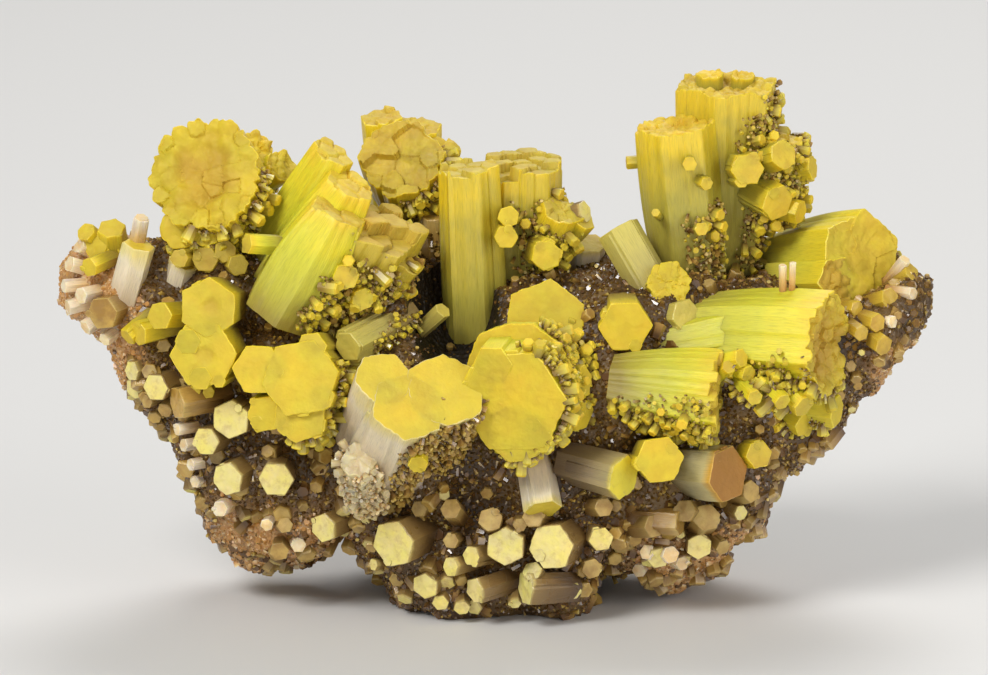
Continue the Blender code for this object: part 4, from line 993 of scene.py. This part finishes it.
smallFront = (   # finish, then x, z, turn, rise, radius, spin of each
    ("cream", (-11, 9.5, -30, -2, 2.75, 14), (1.1, 9.5, -8, 0, 2.2, 28), (6.1, 9.5, -20, 2, 2.7, 10),
     (11.5, 9.9, 12, 6, 1.4, 8), (-7.6, 4.4, -22, -8, 1.6, 24), (-5.9, 2.5, -12, -18, 1, 6),
     (-3.6, 1.9, 2, -22, 0.95, 14), (-4.8, 7, -40, 0, 1.15, 10), (-2.6, 8.3, -36, 4, 1.2, 2),
     (-2.2, 4.2, -52, -6, 1.5, 16), (3.3, 4.6, -62, 4, 2, 8), (4, 6.6, -24, 36, 1.2, 20), (8.4, 4, 6, -12, 1.1, 0)),
    ("tan", (10.5, 6.5, 16, 4, 1.15, 12), (-4.8, 13.7, -14, 26, 1.2, 4), (-0.5, 12.5, -4, 22, 1.4, 18),
     (4.1, 12.8, -14, 18, 1.2, 8), (11.8, 13.6, 24, 10, 1.1, 2)),
    ("cream", (-28.6, 22.8, -16, 2, 2.2, 26), (-31.3, 20.2, -24, 0, 1.65, 4), (-29, 16, -26, -4, 1.95, 20),
     (-23.7, 16.3, -6, -2, 2, 0), (-18.7, 10.5, -32, -2, 1.7, 24)), ("amber", (-34.5, 24.3, -62, -4, 1.9, 10)),
    ("cream", (-39.5, 27.2, -44, -4, 1.2, 6), (-39.2, 24.9, -36, -12, 1.3, 18), (-36.8, 25.8, -26, -2, 1.6, 2)),
    ("gold", (-43.5, 40, -22, 14, 1.6, 10), (-44.6, 41.5, -34, 34, 1.1, 0), (-41.8, 42, -8, 58, 1.6, 20),
     (-40.3, 39.9, 14, 30, 1, 8), (-44.1, 38.2, -34, -6, 1.1, 14), (-39.9, 31.1, -52, -30, 1.1, 2)),
    ("cream", (22.2, 8.4, 6, -2, 1.5, 26)),
    ("tan", (23, 12, 12, 26, 1.6, 10), (20.5, 12.9, -18, 14, 1.3, 4), (27.8, 14.6, 40, 16, 1.3, 18)),
    ("cream", (26.7, 12.1, 34, -4, 0.9, 0)), ("tan", (24.8, 8.1, 30, -12, 0.9, 10)),
    ("amber", (20.2, 11.6, 66, 2, 1.5, 8)), ("cream", (17.8, 7.1, 8, -14, 1.3, 12)),
    ("bead", (39.4, 33.3, 34, 4, 0.9, 4), (41.6, 32.1, 34, 0, 1.1, 20), (43.2, 34.2, 44, 20, 1.3, 8),
     (39.8, 31.2, 26, -8, 0.9, 16), (45.7, 36.4, 56, 30, 1.2, 0), (42.3, 29.7, 34, -14, 1.2, 24)),
    ("cream", (-13.3, 5.9, -44, 0, 0.7, 0), (2.2, 2.4, 0, -30, 0.7, 0)), ("tan", (2.7, 11.8, 0, 0, 0.8, 0)),
    ("amber", (9.8, 3.9, 14, -8, 0.9, 0)), ("tan", (-4.8, 10, -14, 8, 0.9, 0)),
    ("honey", (28.6, 18.9, 24, 10, 1.6, 6)), ("gold", (-32.5, 25.7, -10, 0, 0.7, 0), (-31, 25.6, 0, 0, 0.7, 10)),
    ("crust", (-34.5, 21.1, -50, 0, 0.7, 0), (-33.9, 19.3, -50, 0, 0.75, 10), (-33.2, 17, -50, 0, 0.7, 20),
     (-32.8, 14.7, -40, 0, 0.75, 5), (-30, 12.2, -20, 0, 0.9, 5), (-24.8, 10.7, -10, 0, 0.7, 15),
     (-46.3, 38.2, -60, 20, 0.9, 0), (-47, 35.8, -70, 0, 0.85, 10), (-46.5, 33.6, -65, -10, 0.9, 5),
     (-44.6, 31.4, -50, -20, 0.9, 0), (-42.4, 30.4, -40, -20, 0.8, 8), (-45, 35.2, -40, 0, 1, 12)),
    ("amber", (-42.6, 33.6, -24, 0, 1.9, 10)), ("crust", (-45.4, 39.8, -50, 30, 0.8, 4)),
    ("tan", (-22.8, 10.8, 10, 10, 0.9, 5)), ("crust", (-21.4, 8.3, 6, 0, 0.9, 0)),
    ("tan", (-23.5, 7.3, -4, -10, 1.1, 12)),
    ("crust", (16.5, 7.8, -30, 20, 0.9, 0), (19.1, 7.6, 20, 10, 1, 8), (20.5, 6.3, 30, 0, 0.8, 8),
     (15.8, 4.6, -20, -10, 0.8, 4)),
    ("tan", (-37.9, 23.7, -40, -10, 0.8, 0), (-35.9, 23, -30, -20, 0.9, 0), (17.3, 11.2, 40, 10, 1.4, 0)),
    # three pale grains at the right end: painted highlight for the white glints there
    ("crust", (44.9, 37.8, 50, 50, 0.7, 0), (45.7, 34.6, 50, 0, 0.7, 0), (43.3, 32, 44, 0, 0.7, 0)))
smallSizes = dict(stand=2.2, standShare=0.45, rooted=3)   # how far the front ones stand out and reach in, in mm
fill = dict(count=800, slant=0.5, thin=0.4, thick=0.75, thicker=0.55, low=0.3, high=1.1, rooted=1.5)


def makeMatrixCrystals():
    # the ones that stand out in front
    chance = random.Random(seeds["front"])
    shapes = {}
    for finish, *rows in smallFront:
        for x, z, turn, rise, radius, spin in rows:
            stand = (smallSizes["stand"] + smallSizes["standShare"] * radius) * smooth(50, 36, x)
            s = stem(x, frontY(x, z) - stand, z, turn, rise, radius, stand + smallSizes["rooted"], spin, 0.93, 0.03,
                     lobes=1, grain=0.06, wavy=0.25)
            addStem(shapes.setdefault(finish, newShape()), s, chance)
    return joined("matrix_crystals_front", [meshFrom("matrix_crystals", shape, finishes[key])
                                            for key, shape in shapes.items()])


def addSmall(shape, s, tint):
    # a small crystal with a bevelled end
    radius, length = s["radius"], s["length"]
    rings = [(-length, radius * s["root"], 0), (-length * 0.3, radius * 0.99, 0.7),
             (-0.16 * radius, radius, 0.97), (0, radius * 0.88, 1)]
    addPrism(shape, placeOf(s), rings, tint)


def makeMatrixFill(name, low, high, seed):
    # smaller ones between, all round, most of them low down
    chance = random.Random(seed)
    shapes = {}
    for i in range(fill["count"]):
        x = chance.uniform(low, high)
        point, out = surfacePoint(x, chance.uniform(0, 2 * math.pi))
        point = roughened(point, out)
        deep = smooth(26, 10, point.z - (0.012 if x < 0 else 0.003) * x * x)
        slant = [chance.uniform(-fill["slant"], fill["slant"]) for _ in range(3)]
        lean = (out + Vector(slant)).normalized()
        radius = chance.uniform(fill["thin"], fill["thick"]) + fill["thicker"] * deep * chance.random()
        stand = chance.uniform(fill["low"], fill["high"])
        pick, tint = chance.random(), chance.random()
        if point.z < 1.5 or x < -40 or chance.random() > 0.1 + 0.75 * deep or insideCrystal(point):
            continue
        finish = "cream" if pick < 0.04 + 0.16 * deep else "tan" if pick < 0.2 + 0.3 * deep else "amber"
        turn, rise = math.degrees(math.atan2(lean.x, -lean.y)), math.degrees(math.asin(lean.z))
        s = stem(*(point + lean * stand), turn, rise, radius, stand + fill["rooted"], chance.uniform(0, 60), 0.95, 0)
        addSmall(shapes.setdefault(finish, newShape()), s, tint)
    return joined(name, [meshFrom(name, shape, finishes[key]) for key, shape in shapes.items()])


for piece in (makeMatrixCrystals(), makeMatrixFill("matrix_crystals_left", -46, 0, seeds["left"]),
              makeMatrixFill("matrix_crystals_right", 0, 46, seeds["right"])):
    claim(piece, "matrix")
    print("specimen:", piece.name, len(piece.data.polygons), "faces")


studio = dict(elevation=12, distance=0.8, aim=Vector((-0.0001, 0, 0.0287)), widthAtAim=0.10868, sensorWidth=36,
              nearest=0.01, floorSize=3, floorColour=(0.72, 0.71, 0.69, 1), floorRoughness=0.6,
              roomColour=(0.86, 0.86, 0.86, 1), roomStrength=0.25)
lights = dict(   # place, power, size
    key=((-0.35, -0.5, 0.6), 4.9, 0.3), fill=((0.6, -0.45, 0.25), 2.3, 0.5),
    rim=((0.1, 0.5, 0.6), 3, 0.4), front=((-0.05, -0.75, 0.1), 0.8, 0.3))


def makeFloor():
    bpy.ops.mesh.primitive_plane_add(size=studio["floorSize"])
    floor = bpy.context.object
    floor.name = "floor"
    material = bpy.data.materials.new("pale floor")
    material.use_nodes = True
    shader = material.node_tree.nodes["Principled BSDF"]
    shader.inputs["Base Color"].default_value = studio["floorColour"]
    shader.inputs["Roughness"].default_value = studio["floorRoughness"]
    floor.data.materials.append(material)


def makeLight(name, place, power, size):
    light = bpy.data.lights.new(name, "AREA")
    light.energy = power
    light.size = size
    holder = placed(name, light)
    holder.location = place
    holder.rotation_euler = (studio["aim"] - Vector(place)).to_track_quat("-Z", "Y").to_euler()


def makeCamera():
    camera = bpy.data.cameras.new("camera")
    camera.sensor_width = studio["sensorWidth"]
    camera.lens = studio["sensorWidth"] * studio["distance"] / studio["widthAtAim"]
    camera.clip_start = studio["nearest"]
    tilt = math.radians(studio["elevation"])
    back = Vector((0, -math.cos(tilt), math.sin(tilt)))
    holder = placed("camera", camera)
    holder.location = studio["aim"] + back * studio["distance"]
    holder.rotation_euler = (-back).to_track_quat("-Z", "Y").to_euler()
    bpy.context.scene.camera = holder


makeFloor()
for name, row in lights.items():
    makeLight(name, *row)
makeCamera()
world = bpy.data.worlds.new("soft room")
bpy.context.scene.world = world
world.use_nodes = True
world.node_tree.nodes["Background"].inputs[0].default_value = studio["roomColour"]
world.node_tree.nodes["Background"].inputs[1].default_value = studio["roomStrength"]
bpy.context.scene.view_settings.view_transform = "Standard"
print("specimen: floor, light and camera set")
